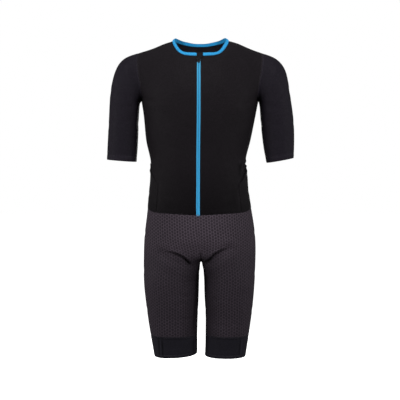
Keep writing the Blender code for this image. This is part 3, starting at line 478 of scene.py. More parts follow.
def body_point(side, column, row):
    """A point of the body's outer face, mm."""
    _, *heights, front_strip, back_strip, front_draw, back_draw = ROWS[row]
    z = float(np.interp(column, ROW_COLUMNS, heights))
    if row == ROW["armpit"] and column in (ARM_FRONT, ARM_BACK):
        z += ARMHOLE_RISE
    half, front_y, back_y, centre, front_x, back_x = [curve(z) for curve in BODY_CURVES]
    if column <= SIDE:
        depth = SIDE_Y - front_y
        reach = half + side * (centre - front_x)
        x, y = quarter_arc(reach, depth, front_strip, FRONT_SPACING)
        local = (0, depth) if column == FRONT else (x[column - 1], y[column - 1])
        draw = front_draw * DRAW_SHARE.get(column, 0)
        return Vector((front_x + side * local[0], SIDE_Y - local[1] + draw, z))
    depth = back_y - SIDE_Y
    reach = half + side * (centre - back_x)
    x, y = quarter_arc(reach, depth, back_strip, [1 - share for share in BACK_SPACING])
    local = (0, depth) if column == BACK else (x[column - SIDE], y[column - SIDE])
    draw = back_draw * DRAW_SHARE.get(column, 0)
    return Vector((back_x + side * local[0], SIDE_Y + local[1] - draw, z))


def bezier(p0, p1, p2, p3, t):
    return p0 * (1 - t) ** 3 + p1 * 3 * t * (1 - t) ** 2 + p2 * 3 * t * t * (1 - t) + p3 * t ** 3


def yoke_point(side, column, step):
    """A point between the armpit row (step 0) and the shoulder or neck seam, mm."""
    _, x, y, z, roll_y, roll_z, rise, push = next(row for row in YOKE if row[0] == column)
    top = Vector((NECK_X + SHOULDER_SHIFT.get(column, 0) + side * x, y,
                  z + SHOULDER_LIFT.get((side, column), 0)))
    if column == FRONT or column == ZIP_EDGE:
        top.x = ZIP_TOP_X + side * x
    foot = body_point(side, column, ROW["armpit"])
    spread = side * ARMHOLE_SPREAD[side] if column == ARM_FRONT else 0
    return bezier(foot, foot + Vector((spread, -push, rise)),
                  top - Vector((-spread, roll_y, roll_z)), top, step / YOKE_ROWS)


def neck_point(side, column):
    _, x, y, z = next(row for row in NECK_EDGE if row[0] == column)
    middle_x = ZIP_TOP_X if column in (FRONT, ZIP_EDGE) else NECK_X
    return Vector((middle_x + side * x, y, z + SHOULDER_LIFT.get((side, column), 0)))


def section_ring(cage, key, over, under, half_depth, points, first, rise=0.0):
    """A ring of points round a limb, from its outermost and innermost places and its half depth.

    The point numbered first is the outermost, and the innermost one is raised by rise.
    """
    ring = []
    for k in range(points):
        angle = 2 * math.pi * (k - first) / points
        along, across = [math.copysign(abs(part) ** (2 / LEG_ROUNDNESS), part)
                         for part in (math.cos(angle), math.sin(angle))]
        place = (over + under) / 2 + (over - under) / 2 * along + Vector((0, half_depth * across, 0))
        place.z += rise * ((1 - math.cos(angle)) / 2) ** HEM_CURVE
        ring.append(cage.point((*key, k), lambda p=place: p))
    return ring


def running_length(places):
    """The length from the first of some points to each of them."""
    steps = [0.0]
    for a, b in zip(places, places[1:]):
        steps.append(steps[-1] + (b - a).length)
    return steps


# ---------------------------------------------------------------- the cage
class Cage:
    """Quads on named points, each with its piece's number and its corners' places on the flat cloth."""

    def __init__(self):
        self.points = []
        self.index = {}
        self.faces = []
        self.marks = []
        self.flat = []
        self.creases = {}

    def point(self, key, place):
        if key not in self.index:
            self.index[key] = len(self.points)
            self.points.append(place() * MM)
        return self.index[key]

    def quad(self, corners, side, mark, flat):
        turn = 1 if side > 0 else -1
        self.faces.append(tuple(corners)[::turn])
        self.flat.append([(u * MM, v * MM) for u, v in flat][::turn])
        self.marks.append(mark)

    def crease(self, line):
        for a, b in zip(line, line[1:]):
            self.creases[frozenset((a, b))] = 1.0


def body_key(cage, side, column, row):
    middle = column in (FRONT, BACK)
    key = ("body", 0 if middle else side, column, row)
    return cage.point(key, lambda: body_point(side, column, row))


def yoke_key(cage, side, column, step):
    """Points above the armpit; the last step is the shoulder or neck seam."""
    if step == 0:
        return body_key(cage, side, column, ROW["armpit"])
    own = column
    if step == YOKE_ROWS:
        column = SHOULDER_TWIN.get(column, column)
    middle = column in (FRONT, BACK)
    key = ("yoke", 0 if middle else side, column, step)
    return cage.point(key, lambda: yoke_point(side, own, step))


def neck_key(cage, side, column):
    column = SHOULDER_TWIN.get(column, column)
    key = ("neck", 0 if column in (FRONT, BACK) else side, column)
    return cage.point(key, lambda: neck_point(side, column))


def body_girth(side, row):
    return running_length([body_point(side, column, row) for column in range(BACK + 1)])


def add_body(cage, side):
    name = SIDE_NAME[side]
    girths = [body_girth(side, row) for row in range(len(ROWS))]

    def flat(column, row, in_front):
        across = girths[row][column] if in_front else girths[row][BACK] - girths[row][column]
        return side * across, body_point(side, column, row).z

    for row in range(len(ROWS) - 1):
        for column in range(BACK):
            if row < ROW["waist"]:
                if column == FRONT:
                    piece = "zip_tape_" + name
                elif column < SIDE:
                    piece = "front_" + name
                else:
                    piece = "back"
            else:
                piece = "shorts_front" if column < SIDE else "shorts_back"
            mark = PIECE[piece]
            in_pocket = POCKET_FRONT <= column < POCKET_BACK
            if in_pocket and ROW["pocket_mouth"] <= row < ROW["waist"]:
                mark += POCKET_MARK
            places = ((column, row), (column, row + 1), (column + 1, row + 1), (column + 1, row))
            cage.quad([body_key(cage, side, *place) for place in places], side, mark,
                      [flat(*place, column < SIDE) for place in places])


def add_yoke(cage, side):
    name = SIDE_NAME[side]
    front_columns = list(range(FRONT, ARM_FRONT + 1))
    back_columns = list(range(BACK, ARM_BACK - 1, -1))
    climbs = {column: [yoke_point(side, column, step) for step in range(YOKE_ROWS + 1)]
              for column in front_columns + back_columns}
    flat = {}
    for columns in (front_columns, back_columns):
        for step in range(YOKE_ROWS + 1):
            girth = running_length([climbs[column][step] for column in columns])
            for column, across in zip(columns, girth):
                climb = running_length(climbs[column])[step]
                flat[column, step] = (side * across, climbs[column][0].z + climb)
    for column in list(range(FRONT, ARM_FRONT)) + list(range(ARM_BACK, BACK)):
        if column == FRONT:
            piece = "zip_tape_" + name
        else:
            piece = "front_" + name if column < SIDE else "back"
        for step in range(YOKE_ROWS):
            places = ((column, step + 1), (column, step), (column + 1, step), (column + 1, step + 1))
            cage.quad([yoke_key(cage, side, *place) for place in places], side, PIECE[piece],
                      [flat[place] for place in places])
    for column in list(range(FRONT, NECK_FRONT)) + list(range(NECK_BACK, BACK)):
        piece = "zip_tape_" + name if column == FRONT else "neck_binding"
        corners = [neck_key(cage, side, column), yoke_key(cage, side, column, YOKE_ROWS),
                   yoke_key(cage, side, column + 1, YOKE_ROWS), neck_key(cage, side, column + 1)]
        near, far = flat[column, YOKE_ROWS], flat[column + 1, YOKE_ROWS]
        if piece == "neck_binding":
            near, far = (near[0], 0), (far[0], 0)
        cage.quad(corners, side, PIECE[piece],
                  [(near[0], near[1] + BINDING_WIDTH), near, far, (far[0], far[1] + BINDING_WIDTH)])
        cage.crease(corners[1:3])


def add_sleeve(cage, side):
    front = [yoke_key(cage, side, ARM_FRONT, step) for step in range(YOKE_ROWS + 1)]
    back = [yoke_key(cage, side, ARM_BACK, step) for step in range(YOKE_ROWS)]
    rings = [[body_key(cage, side, SIDE, ROW["armpit"])] + front + back[::-1]]
    for number, (over_x, over_z, under_x, under_z, half_depth, y) in enumerate(SLEEVE[side]):
        rings.append(section_ring(cage, ("sleeve", side, number), Vector((over_x, y, over_z)),
                                  Vector((under_x, y, under_z)), half_depth, SLEEVE_POINTS,
                                  SLEEVE_POINTS // 2))
    places = [[cage.points[v] / MM for v in ring] for ring in rings]
    girths = [running_length(ring + ring[:1]) for ring in places]
    lengths = [running_length([ring[k] for ring in reversed(places)])[::-1]
               for k in range(SLEEVE_POINTS)]
    for number in range(len(SLEEVE[side])):
        for k in range(SLEEVE_POINTS):
            around = ((number, k), (number + 1, k), (number + 1, k + 1), (number, k + 1))
            cage.quad([rings[row][step % SLEEVE_POINTS] for row, step in around], side,
                      PIECE["sleeve_" + SIDE_NAME[side]],
                      [(girths[row][step], lengths[step % SLEEVE_POINTS][row]) for row, step in around])
    cage.crease([rings[0][k] for k in (-2, -1, 0, 1, 2)])


def crotch_key(cage, side, step):
    """Points of the strip between the legs: step 0 is the front fork, 4 the back fork."""
    if step in (0, len(CROTCH) + 1):
        columns = (FRONT, ZIP_EDGE) if step == 0 else (BACK, BACK_EDGE)
        return body_key(cage, side or 1, columns[abs(side)], ROW["fork"])
    y, z = CROTCH[step - 1]
    return cage.point(("crotch", side, step),
                      lambda: Vector((CROTCH_X + side * CROTCH_HALF, y, z)))


def leg_flat(side, rings, order, in_front):
    """Places on the flat cloth of half a leg: the knit runs straight down under its reference point."""
    reference = LEG_REFERENCE[in_front]
    girth = body_girth(side, ROW["fork"])
    across = girth[reference + 1] if in_front else girth[BACK] - girth[reference + 1]
    flat = {}
    for number, ring in enumerate(rings):
        lengths = dict(zip(order, running_length([ring[k] for k in order])))
        start = across + side * (ring[reference].x - rings[0][reference].x)
        for k in order:
            flat[number, k] = (side * (start + lengths[k] - lengths[reference]), ring[k].z)
    return flat


def add_leg(cage, side):
    halfway = (len(CROTCH) + 1) // 2
    for step in range(len(CROTCH) + 1):
        piece = "shorts_front" if step < halfway else "shorts_back"
        corners = [crotch_key(cage, 0, step), crotch_key(cage, 0, step + 1),
                   crotch_key(cage, side, step + 1), crotch_key(cage, side, step)]
        flat = [(side * half, cage.points[v].z / MM)
                for v, half in zip(corners, (0, 0, CROTCH_HALF, CROTCH_HALF))]
        cage.quad(corners, side, PIECE[piece], flat)
    top = [body_key(cage, side, column, ROW["fork"]) for column in range(ZIP_EDGE, BACK)]
    top += [crotch_key(cage, side, step) for step in (3, 2, 1)]
    rings = [top]
    for number, (z, left_outer, left_inner, right_outer, right_inner, front_y, back_y) in enumerate(LEG):
        outer, inner = (left_outer, left_inner) if side > 0 else (right_outer, right_inner)
        y = (front_y + back_y) / 2
        rise = HEM_RISE[side] if number == len(LEG) - 1 else 0
        rings.append(section_ring(cage, ("leg", side, number), Vector((outer, y, z)),
                                  Vector((inner, y, z)), (back_y - front_y) / 2, LEG_POINTS, SIDE - 1,
                                  rise))
    inseam = top.index(crotch_key(cage, side, halfway))
    places = [[cage.points[v] / MM for v in ring] for ring in rings]
    front_flat = leg_flat(side, places, [*range(inseam, LEG_POINTS), *range(SIDE)], True)
    back_flat = leg_flat(side, places, [*range(inseam, SIDE - 2, -1)], False)
    for number, (upper, lower) in enumerate(zip(rings, rings[1:])):
        for k in range(LEG_POINTS):
            n = (k + 1) % LEG_POINTS
            in_back = SIDE - 1 <= k < inseam
            piece = "shorts_back" if in_back else "shorts_front"
            flat = back_flat if in_back else front_flat
            if number >= GRIPPER_RING:
                piece = "gripper_" + SIDE_NAME[side]
            cage.quad([upper[k], lower[k], lower[n], upper[n]], side, PIECE[piece],
                      [flat[number, k], flat[number + 1, k], flat[number + 1, n], flat[number, n]])


def build_cage():
    cage = Cage()
    for side in (1, -1):
        add_body(cage, side)
        add_yoke(cage, side)
        add_sleeve(cage, side)
        add_leg(cage, side)
    for side in (1, -1):
        line = [neck_key(cage, side, ZIP_EDGE)]
        line += [yoke_key(cage, side, ZIP_EDGE, step) for step in range(YOKE_ROWS, 0, -1)]
        line += [body_key(cage, side, ZIP_EDGE, row) for row in range(ROW["hip"] + 1)]
        cage.crease(line)
    return cage


# ---------------------------------------------------------------- the smooth surface
def half_edges(quads):
    """Each quad's four directed edges: two points, the quad's number and the first one's corner."""
    for number, quad in enumerate(quads.tolist()):
        for k in range(4):
            yield quad[k], quad[(k + 1) % 4], number, k


class Surface:
    """The outer face of all the cloth: points, quads, their pieces and their places on the flat cloth."""

    def __init__(self, points, quads, marks, flat):
        self.points = points
        self.quads = quads
        self.marks = marks
        self.flat = flat
        self.normals = vertex_normals(points, quads)
        self.shadow = np.zeros(len(points))
        edges = {(a, b) for a, b, _, _ in half_edges(quads)}
        self.free = {v for a, b in edges if (b, a) not in edges for v in (a, b)}

    def piece_mask(self, name):
        return self.marks % POCKET_MARK == PIECE[name]


def evaluated(item):
    graph = bpy.context.evaluated_depsgraph_get()
    graph.update()
    mesh = bpy.data.meshes.new_from_object(item.evaluated_get(graph))
    points = np.empty(len(mesh.vertices) * 3)
    mesh.vertices.foreach_get("co", points)
    quads = np.empty(len(mesh.loops), int)
    mesh.loops.foreach_get("vertex_index", quads)
    marks = np.empty(len(mesh.polygons), int)
    mesh.polygons.foreach_get("material_index", marks)
    flat = np.empty(len(mesh.loops) * 2)
    mesh.uv_layers["cloth"].data.foreach_get("uv", flat)
    bpy.data.meshes.remove(mesh)
    return points.reshape(-1, 3), quads.reshape(-1, 4), marks, flat.reshape(-1, 4, 2)


def vertex_normals(points, quads):
    diagonal_a = points[quads[:, 2]] - points[quads[:, 0]]
    diagonal_b = points[quads[:, 3]] - points[quads[:, 1]]
    face_normal = np.cross(diagonal_a, diagonal_b)
    face_normal /= np.linalg.norm(face_normal, axis=1)[:, None]
    normal = np.zeros_like(points)
    for corner in range(4):
        np.add.at(normal, quads[:, corner], face_normal)
    length = np.linalg.norm(normal, axis=1)[:, None]
    return normal / np.maximum(length, TINY)


def smooth_surfaces(cage):
    """The cage's smooth surface, plain and fine, pushed out until it passes through its sections."""
    mesh = bpy.data.meshes.new("cloth_cage")
    mesh.from_pydata(cage.points, [], cage.faces)
    mesh.polygons.foreach_set("material_index", cage.marks)
    layer = mesh.uv_layers.new(name="cloth")
    layer.data.foreach_set("uv", np.array(cage.flat).ravel())
    crease = mesh.attributes.new("crease_edge", "FLOAT", "EDGE")
    for edge in mesh.edges:
        crease.data[edge.index].value = cage.creases.get(frozenset(edge.vertices), 0.0)
    helper = put("cloth_cage", mesh)
    modifier = helper.modifiers.new("smooth", "SUBSURF")
    modifier.levels = modifier.render_levels = 1
    modifier.use_limit_surface = True
    target = np.array([tuple(p) for p in cage.points])
    for _ in range(FITTING_ROUNDS):
        points = evaluated(helper)[0]
        place = np.empty(len(target) * 3)
        mesh.vertices.foreach_get("co", place)
        place = place.reshape(-1, 3) + target - points[:len(target)]
        mesh.vertices.foreach_set("co", place.ravel())
        mesh.update()
    surfaces = []
    for level in (SMOOTHING, FINE_SMOOTHING):
        modifier.levels = modifier.render_levels = level
        surfaces.append(Surface(*evaluated(helper)))
    bpy.data.objects.remove(helper)
    return surfaces


def bell(away, width):
    """1 on a line, and falling smoothly to 0 some widths away from it."""
    return np.exp(-(away / width) ** 2)


def fold_shape(away, depth, width):
    """Depth across a fold: the trough, and the low ridge on each side of it."""
    lip = bell(away - LIP_REACH * width, LIP_WIDTH * width)
    return depth * (bell(away, width) - LIP_SHARE * lip)


def tuck_shape(above, depth, bulge, width):
    """Depth across a tuck: cloth hangs over on the upper side and runs in under it."""
    trough, under, over = [bell(above / width - place, spread)
                           for place, spread in (TUCK_TROUGH, TUCK_UNDER, TUCK_OVER)]
    return depth * (trough + UNDER_SHARE * under) - bulge * over


def along_fold(surface, face, places):
    """For each point: its distance from a line drawn on a face, the same with a sign (above 0 on the
    line's left), its share of the way along, and how squarely it faces that way."""
    axis, sign = FACES[face]
    flat = surface.points[:, [axis, 2]] / MM
    nearest = np.full(len(flat), np.inf)
    signed = np.zeros(len(flat))
    share = np.zeros(len(flat))
    total = sum(math.dist(a, b) for a, b in zip(places, places[1:]))
    done = 0.0
    for a, b in zip(places, places[1:]):
        start, line = np.array(a, float), np.array(b, float) - np.array(a, float)
        length = np.linalg.norm(line)
        t = np.clip((flat - start) @ line / length ** 2, 0, 1)
        away = np.linalg.norm(flat - start - t[:, None] * line, axis=1)
        turn = line[0] * (flat[:, 1] - a[1]) - line[1] * (flat[:, 0] - a[0])
        closer = away < nearest
        nearest[closer] = away[closer]
        signed[closer] = (away * np.where(turn < 0, -1, 1))[closer]
        share[closer] = ((done + t * length) / total)[closer]
        done += length
    facing = np.clip(surface.normals[:, 1 - axis] * sign, 0, 1)
    return nearest, signed, np.clip(share, 0, 1), facing


def tapered(share, start, end):
    """0 at a line's two ends, and 1 between the shares given for its start and its end."""
    rise, fall = [np.clip(part, 0, 1) for part in (share / start, (1 - share) / end)]
    return rise * rise * (3 - 2 * rise) * fall * fall * (3 - 2 * fall)


def rows_of(table):
    """The rows of a table by region and face, with the region and the face in front of each."""
    return [(*place, *row) for place, rows in table.items() for row in rows]


def armhole_lines():
    """The lines of painted light along the armhole seams, as rows of shaded lines."""
    lines = []
    for side, painted_light in ARMHOLE_PAINTED_LIGHT.items():
        for column, face in ((ARM_FRONT, "front"), (ARM_BACK, "back")):
            points = [yoke_point(side, column, step) for step in range(YOKE_ROWS + 1)]
            lines.append(("sleeves", face, -painted_light, ARMHOLE_LINE, *[(p.x, p.z) for p in points]))
    return lines


def press_folds(surface):
    """Move the surface's points by the tables of folds, tucks and mounds, and set its shadow: the painted
    shade and painted light of the shaded lines and spots.
    """
    inside = {}
    for name, members in REGIONS.items():
        quads = np.isin(surface.marks % POCKET_MARK, [PIECE[p] for p in members])
        inside[name] = np.zeros(len(surface.points))
        inside[name][surface.quads[quads].ravel()] = 1
    depth = np.zeros(len(surface.points))
    raised = np.zeros_like(surface.points)
    for region, face, deep, width, *places in rows_of(FOLDS):
        away, _, share, facing = along_fold(surface, face, places)
        taper = FOLD_END + (1 - FOLD_END) * np.sin(share * math.pi) ** FOLD_FADE if len(places) > 2 else 1
        depth += fold_shape(away, deep, width) * taper * facing * inside[region]
    for region, face, deep, bulge, width, start, end, *places in rows_of(TUCKS):
        away, above, share, facing = along_fold(surface, face, places)
        beyond = bell(np.maximum(away - np.abs(above), 0), width)
        depth += (tuck_shape(above, deep, bulge, width) * tapered(share, start, end) * beyond * facing
                  * inside[region])
    for region, face, height, half_width, half_height, middle in MOUNDS:
        axis, sign = FACES[face]
        away = (surface.points[:, [axis, 2]] / MM - middle) / (half_width, half_height)
        on_face = np.clip(surface.points[:, 1 - axis] * sign / MM / MOUND_FROM - 1, 0, 1)
        mound = height * np.exp(-np.sum(away ** 2, axis=1)) * on_face * inside[region]
        raised[:, 1 - axis] += sign * mound * MM
    # Painted shade and painted light along lines and in spots.
    for region, face, shadow, width, *places in rows_of(SHADED_LINES) + armhole_lines():
        away, _, share, facing = along_fold(surface, face, places)
        taper = SHADE_END + (1 - SHADE_END) * tapered(share, SHADE_FADE, SHADE_FADE)
        surface.shadow += shadow * bell(away, width) * taper * (facing > 0) * inside[region]
    for region, shadow, half_width, half_height, middle in SHADED_SPOTS:
        away = (surface.points[:, [0, 2]] / MM - middle) / (half_width, half_height)
        surface.shadow += shadow * np.exp(-np.sum(away ** 2, axis=1) ** 2) * inside[region]
    surface.shadow = np.clip(surface.shadow, *SHADOW_SPAN)
    surface.points = surface.points - surface.normals * (depth * MM)[:, None] + raised
    surface.normals = vertex_normals(surface.points, surface.quads)


# ---------------------------------------------------------------- shells
def wall_mesh(name, outer, inner, faces, flat, shadow):
    """A closed wall between two matching skins: faces index both, flat holds their corners' places,
    and shadow has a value for each point, the outer skin's first."""
    count = len(outer)
    corners = flat.tolist()
    edges = {(a, b): (corners[n][k], corners[n][(k + 1) % 4]) for a, b, n, k in half_edges(faces)}
    rims = [(a, b) for a, b in edges if (b, a) not in edges]
    rim_flat = [(edges[rim][1], edges[rim][0], edges[rim][0], edges[rim][1]) for rim in rims]
    mesh = bpy.data.meshes.new(name)
    mesh.from_pydata(np.concatenate((outer, inner)).tolist(), [],
                     faces.tolist() + (faces[:, ::-1] + count).tolist()
                     + [(b, a, a + count, b + count) for a, b in rims])
    layer = mesh.uv_layers.new(name="cloth")
    layer.data.foreach_set("uv", np.concatenate((flat, flat[:, ::-1], np.array(rim_flat))).ravel())
    attribute = mesh.attributes.new("shadow", "FLOAT", "POINT")
    attribute.data.foreach_set("value", shadow)
    mesh.shade_smooth()
    mesh.set_sharp_from_angle(angle=SHADE_ANGLE)
    return mesh


def edge_steps(points, faces, normals):
    """For each boundary point, the mitred step of unit width towards the piece's inside."""
    edges = dict.fromkeys((a, b) for a, b, _, _ in half_edges(faces))
    steps = {}
    for a, b in edges:
        if (b, a) not in edges:
            for v in (a, b):
                inward = np.cross(normals[v], points[b] - points[a])
                steps.setdefault(v, []).append(inward / np.linalg.norm(inward))
    for v, pair in steps.items():
        mitre = max(MITRE_FLOOR, 1 + float(pair[0] @ pair[-1])) if len(pair) > 1 else 1
        steps[v] = sum(pair) / mitre
    return steps


BINDING_BULGE = 0.9 * MM
BINDING_SQUARENESS = 0.6  # the lower, the flatter the bulge's top
EDGE_SHADOW = 0.50  # painted shade at the binding's two edges
EDGE_SHADOW_WIDTH = 0.15  # share of the binding's width


def binding_profile(flat_v):
    """How far the folded binding bulges, and the shade painted at its two edges, by the place across the
    band.
    """
    share = np.clip(flat_v / (BINDING_WIDTH * MM), 0, 1)
    return (BINDING_BULGE * (4 * share * (1 - share)) ** BINDING_SQUARENESS,
            EDGE_SHADOW * bell(np.minimum(share, 1 - share), EDGE_SHADOW_WIDTH))


MOUTHS = {  # where the pockets' mouths stand off the sides: z, reach, lift
    "pocket_left": (-0.386, 0.030, 4.2 * MM),
    "pocket_right": (-0.366, 0.026, 2.2 * MM),
}
CUFF_TURN = 15 * MM  # depth of the turned hem at the cuffs
LEG_TURN = 9 * MM  # and at the legs
HEM_Z = LEG[-1][0] * MM
TURN_HEIGHT = 0.35 * MM  # how far the turned hem stands proud
TURN_STEP = 2 * MM  # width over which it rises
GROOVE = 0.35 * MM  # depth and width of the hems' stitch line
GROOVE_WIDTH = 1.8 * MM
# Painted light on the inside of these pieces, taken off their shadow.
INSIDE_PAINTED_LIGHT = {"front_left": 2.9, "front_right": 2.9, "back": 2.9, "neck_binding": 0.5}


def hem_height(name, flat_v):
    """The turned hems are two layers thick, and their stitch line pulls in."""
    if name.startswith("sleeve"):
        from_edge, turn = flat_v, CUFF_TURN
    elif name.startswith("gripper"):
        from_edge, turn = flat_v - HEM_Z, LEG_TURN
    else:
        return np.zeros(len(flat_v))
    doubled = np.clip((turn - from_edge) / TURN_STEP + 0.5, 0, 1) * TURN_HEIGHT
    return doubled - GROOVE * bell(from_edge - turn, GROOVE_WIDTH)


def shell(surface, name, wall, chosen, lift=0.0, inset=SEAM_GAP / 2):
    """The wall of one piece: its outer skin is the surface, moved out by lift and sunk at its edges."""
    is_tape = name.startswith("zip_tape")
    used, numbers = np.unique(surface.quads[chosen], return_inverse=True)
    faces = numbers.reshape(-1, 4)
    flat = surface.flat[chosen]
    skin = surface.points[used].copy()
    limb = np.isin(surface.marks % POCKET_MARK, SLEEVE_NUMBERS) == name.startswith("sleeve")
    own = vertex_normals(surface.points, surface.quads[limb])[used]
    shared = surface.normals[used]
    cosine = np.sum(own * shared, axis=1)
    direction = shared / np.maximum(cosine, LEAN_FLOOR)[:, None]
    across = np.zeros(len(skin))
    across[faces.ravel()] = flat[:, :, 1].ravel()
    shadow = surface.shadow[used].copy()
    rise = lift + hem_height(name, across)
    if name == "neck_binding":
        bulge, edge_shadow = binding_profile(across)
        rise += bulge
        # Painted shade at the binding's edges.
        shadow += edge_shadow
    elif name in MOUTHS:
        z, reach, height = MOUTHS[name]
        rise += height * bell(across - z, reach) * shared[:, 0] ** 2
    moves = np.zeros_like(skin)
    tucked = np.zeros_like(skin)
    for v, step in edge_steps(skin, faces, own).items():
        moves[v] = step * inset
        if not (is_tape or lift or used[v] in surface.free):
            tucked[v] = step * -(inset + ALLOWANCE)
        rise[v] -= TAPE_SINK if is_tape else SEAM_SINK
        if cosine[v] < math.cos(SHARP_FOLD):
            direction[v] = own[v]
            moves[v] -= own[v] * SEAM_GAP / 2
    outer = skin + moves + direction * rise[:, None]
    inner = skin + moves + tucked + direction * (np.minimum(rise, lift) - wall)[:, None]
    # The inner skin gets the painted light of the inside.
    shadow = np.concatenate((shadow, shadow - INSIDE_PAINTED_LIGHT.get(name, 0)))
    return wall_mesh(name + "_cloth", outer, inner, faces, flat, shadow)


def new_piece(name, mesh, material, body="garment"):
    item = put(name, mesh)
    mesh.materials.clear()
    mesh.materials.append(material)
    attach(item, body)
    return item


def smooth_mesh(name, verts, faces):
    """A mesh of closed forms, all of whose faces look out."""
    mesh = bpy.data.meshes.new(name)
    mesh.from_pydata(verts, [], faces)
    bm = bmesh.new()
    bm.from_mesh(mesh)
    bmesh.ops.recalc_face_normals(bm, faces=bm.faces)
    bm.to_mesh(mesh)
    bm.free()
    mesh.shade_smooth()
    return mesh


# ---------------------------------------------------------------- materials
NOISE_SPAN = (0.3, 0.7)  # nearly all noise lies between these values


class Shade:
    """A node material in the making: short calls for its maths, noise and bump."""

    def __init__(self, name, colour, roughness, **sockets):
        self.material = bpy.data.materials.new(name)
        self.material.use_nodes = True
        self.tree = self.material.node_tree
        self.shader = self.tree.nodes["Principled BSDF"]
        for socket, value in {"Base_Color": colour, "Roughness": roughness, **sockets}.items():
            self.set(socket, value)

    def set(self, socket, value):
        self.link(self.shader.inputs[socket.replace("_", " ")], value)

    def node(self, kind, **settings):
        node = self.tree.nodes.new("ShaderNode" + kind)
        for key, value in settings.items():
            setattr(node, key, value)
        return node

    def link(self, socket, value):
        """Give a socket a number or a colour, or what another node puts out."""
        if isinstance(value, tuple):
            socket.default_value = value if len(socket.default_value) == 3 else (*value, 1)
        elif isinstance(value, (int, float)):
            socket.default_value = value
        else:
            self.tree.links.new(value, socket)

    def fed(self, node, *values):
        """A node whose first inputs take some values."""
        for socket, value in zip(node.inputs, values):
            self.link(socket, value)
        return node

    def math(self, operation, *values):
        return self.fed(self.node("Math", operation=operation), *values).outputs[0]

    def product(self, first, *others):
        for other in others:
            first = self.math("MULTIPLY", first, other)
        return first

    def waves(self, *runs):
        """Sine waves times each other, from 0 to 1; a run is a value and the pitch along it."""
        sines = [self.math("SINE", self.product(value, 2 * math.pi / pitch)) for value, pitch in runs]
        return self.math("MULTIPLY_ADD", self.product(*sines), 0.5, 0.5)

    def cloth(self):
        """The place on the flat cloth: u across and v up, metres."""
        place = self.fed(self.node("SeparateXYZ"), self.node("UVMap", uv_map="cloth").outputs[0])
        return place.outputs[0], place.outputs[1]

    def place(self):
        """The object's own x, y and z."""
        place = self.fed(self.node("SeparateXYZ"), self.node("TexCoord").outputs["Object"])
        return place.outputs[0], place.outputs[1], place.outputs[2]

    def noise(self, scale, detail=2.0):
        """Noise in the object's own space, from 0 to 1; scale is in features per metre."""
        node = self.node("TexNoise")
        self.link(node.inputs["Vector"], self.node("TexCoord").outputs["Object"])
        self.link(node.inputs["Scale"], scale)
        self.link(node.inputs["Detail"], detail)
        return node.outputs[0]

    def ramp(self, value, low, high, from_low=0.0, from_high=1.0):
        """Map a value smoothly between two colours or two numbers."""
        if isinstance(low, tuple):
            return self.blend(self.ramp(value, 0.0, 1.0, from_low, from_high), low, high)
        node = self.node("MapRange", interpolation_type="SMOOTHSTEP")
        return self.fed(node, value, from_low, from_high, low, high).outputs[0]

    def around(self, value, middle, half):
        """From middle - half to middle + half, as the noise goes up."""
        return self.ramp(value, middle - half, middle + half, *NOISE_SPAN)

    def blend(self, share, colour_a, colour_b):
        mix = self.node("Mix", data_type="RGBA")
        for number, value in ((0, share), (6, colour_a), (7, colour_b)):
            self.link(mix.inputs[number], value)
        return mix.outputs[2]

    def dye_and_paint_shade(self, colour, mottle, depth, *tones):
        """The cloth's colour, made deeper or paler by its mottling, by the painted shade and light of its
        shadow attribute, and by other tones.
        """
        shadow = self.node("Attribute", attribute_name="shadow").outputs["Fac"]
        tone = self.product(self.around(mottle, 1, depth), *tones, self.math("SUBTRACT", 1.0, shadow))
        node = self.fed(self.node("VectorMath", operation="SCALE"), colour)
        self.link(node.inputs["Scale"], tone)
        self.set("Base Color", node.outputs[0])

    def relief(self, *layers):
        """Bump layers, each (height from 0 to 1, depth in metres)."""
        below = None
        for height, depth in layers:
            bump = self.node("Bump")
            for socket, value in (("Strength", 1.0), ("Distance", depth), ("Height", height)):
                self.link(bump.inputs[socket], value)
            if below is not None:
                self.link(bump.inputs["Normal"], below)
            below = bump.outputs[0]
        self.set("Normal", below)


def scaled(colour, share):
    return tuple(c * share for c in colour)


KNIT_WALE = 1.1 * MM  # pitch of the knit's stitches across
KNIT_COURSE = 0.9 * MM  # and down
# Mottling: features per metre, detail, and how far it takes the tone up and down.
KNIT_MOTTLE = (260, 3.0, 0.16)
HONEYCOMB_MOTTLE = (300, 3.0, 0.18)
RIB_MOTTLE = (320, 2.0, 0.14)
HARD_MOTTLE = (900, 2.0, 0.20)
ROUGH_PATCHES = 70  # per metre of knit
KNIT_ROUGHNESS, HARD_ROUGHNESS = 0.05, 0.08  # how far these go up and down
# Depths of the fine relief.
KNIT_PATCHES, RIB_PATCHES, HARD_PATCHES = 0.12 * MM, 0.08 * MM, 0.03 * MM
WEAVE_RELIEF = 0.10 * MM
KNIT_RELIEF = 0.06 * MM
FINE_KNIT_RELIEF = 0.05 * MM  # on the honeycomb's cells
LOWEST_Z, LOWER_Z = -0.540, -0.310  # painted shade: between these the body's knit gets darker, down to its lowest tone
CELL_HEIGHT = 9.15 * MM  # pitch of the honeycomb down a column
CELL_RADIUS = CELL_HEIGHT / math.sqrt(3)
NET_HALF = 1.15 * MM  # half the width of the honeycomb's lines
NET_SOFT = 0.7 * MM
NET_RELIEF = 0.35 * MM
THIN_ACROSS = 0.30 * MM  # how much thinner the net's level lines are
WAIST_Z = -0.572  # down to here the shorts' knit is lightest, free of the thighs' painted shade
THIGH_Z = -0.655  # and from here it has its thigh colours, darkened by painted shade
GRIPPER_SEAM_Z = LEG[GRIPPER_RING - 1][0] * MM
SEAM_BAND = (0.6 * MM, 2.2 * MM)  # above that seam the net fills the cells
INNER_THIGH_SHADE = (0.016, 0.066)  # from the middle, where the painted shade of the inner thighs ends
INNER_SHADE_Z = (-0.670, -0.610)  # and where it begins, going down
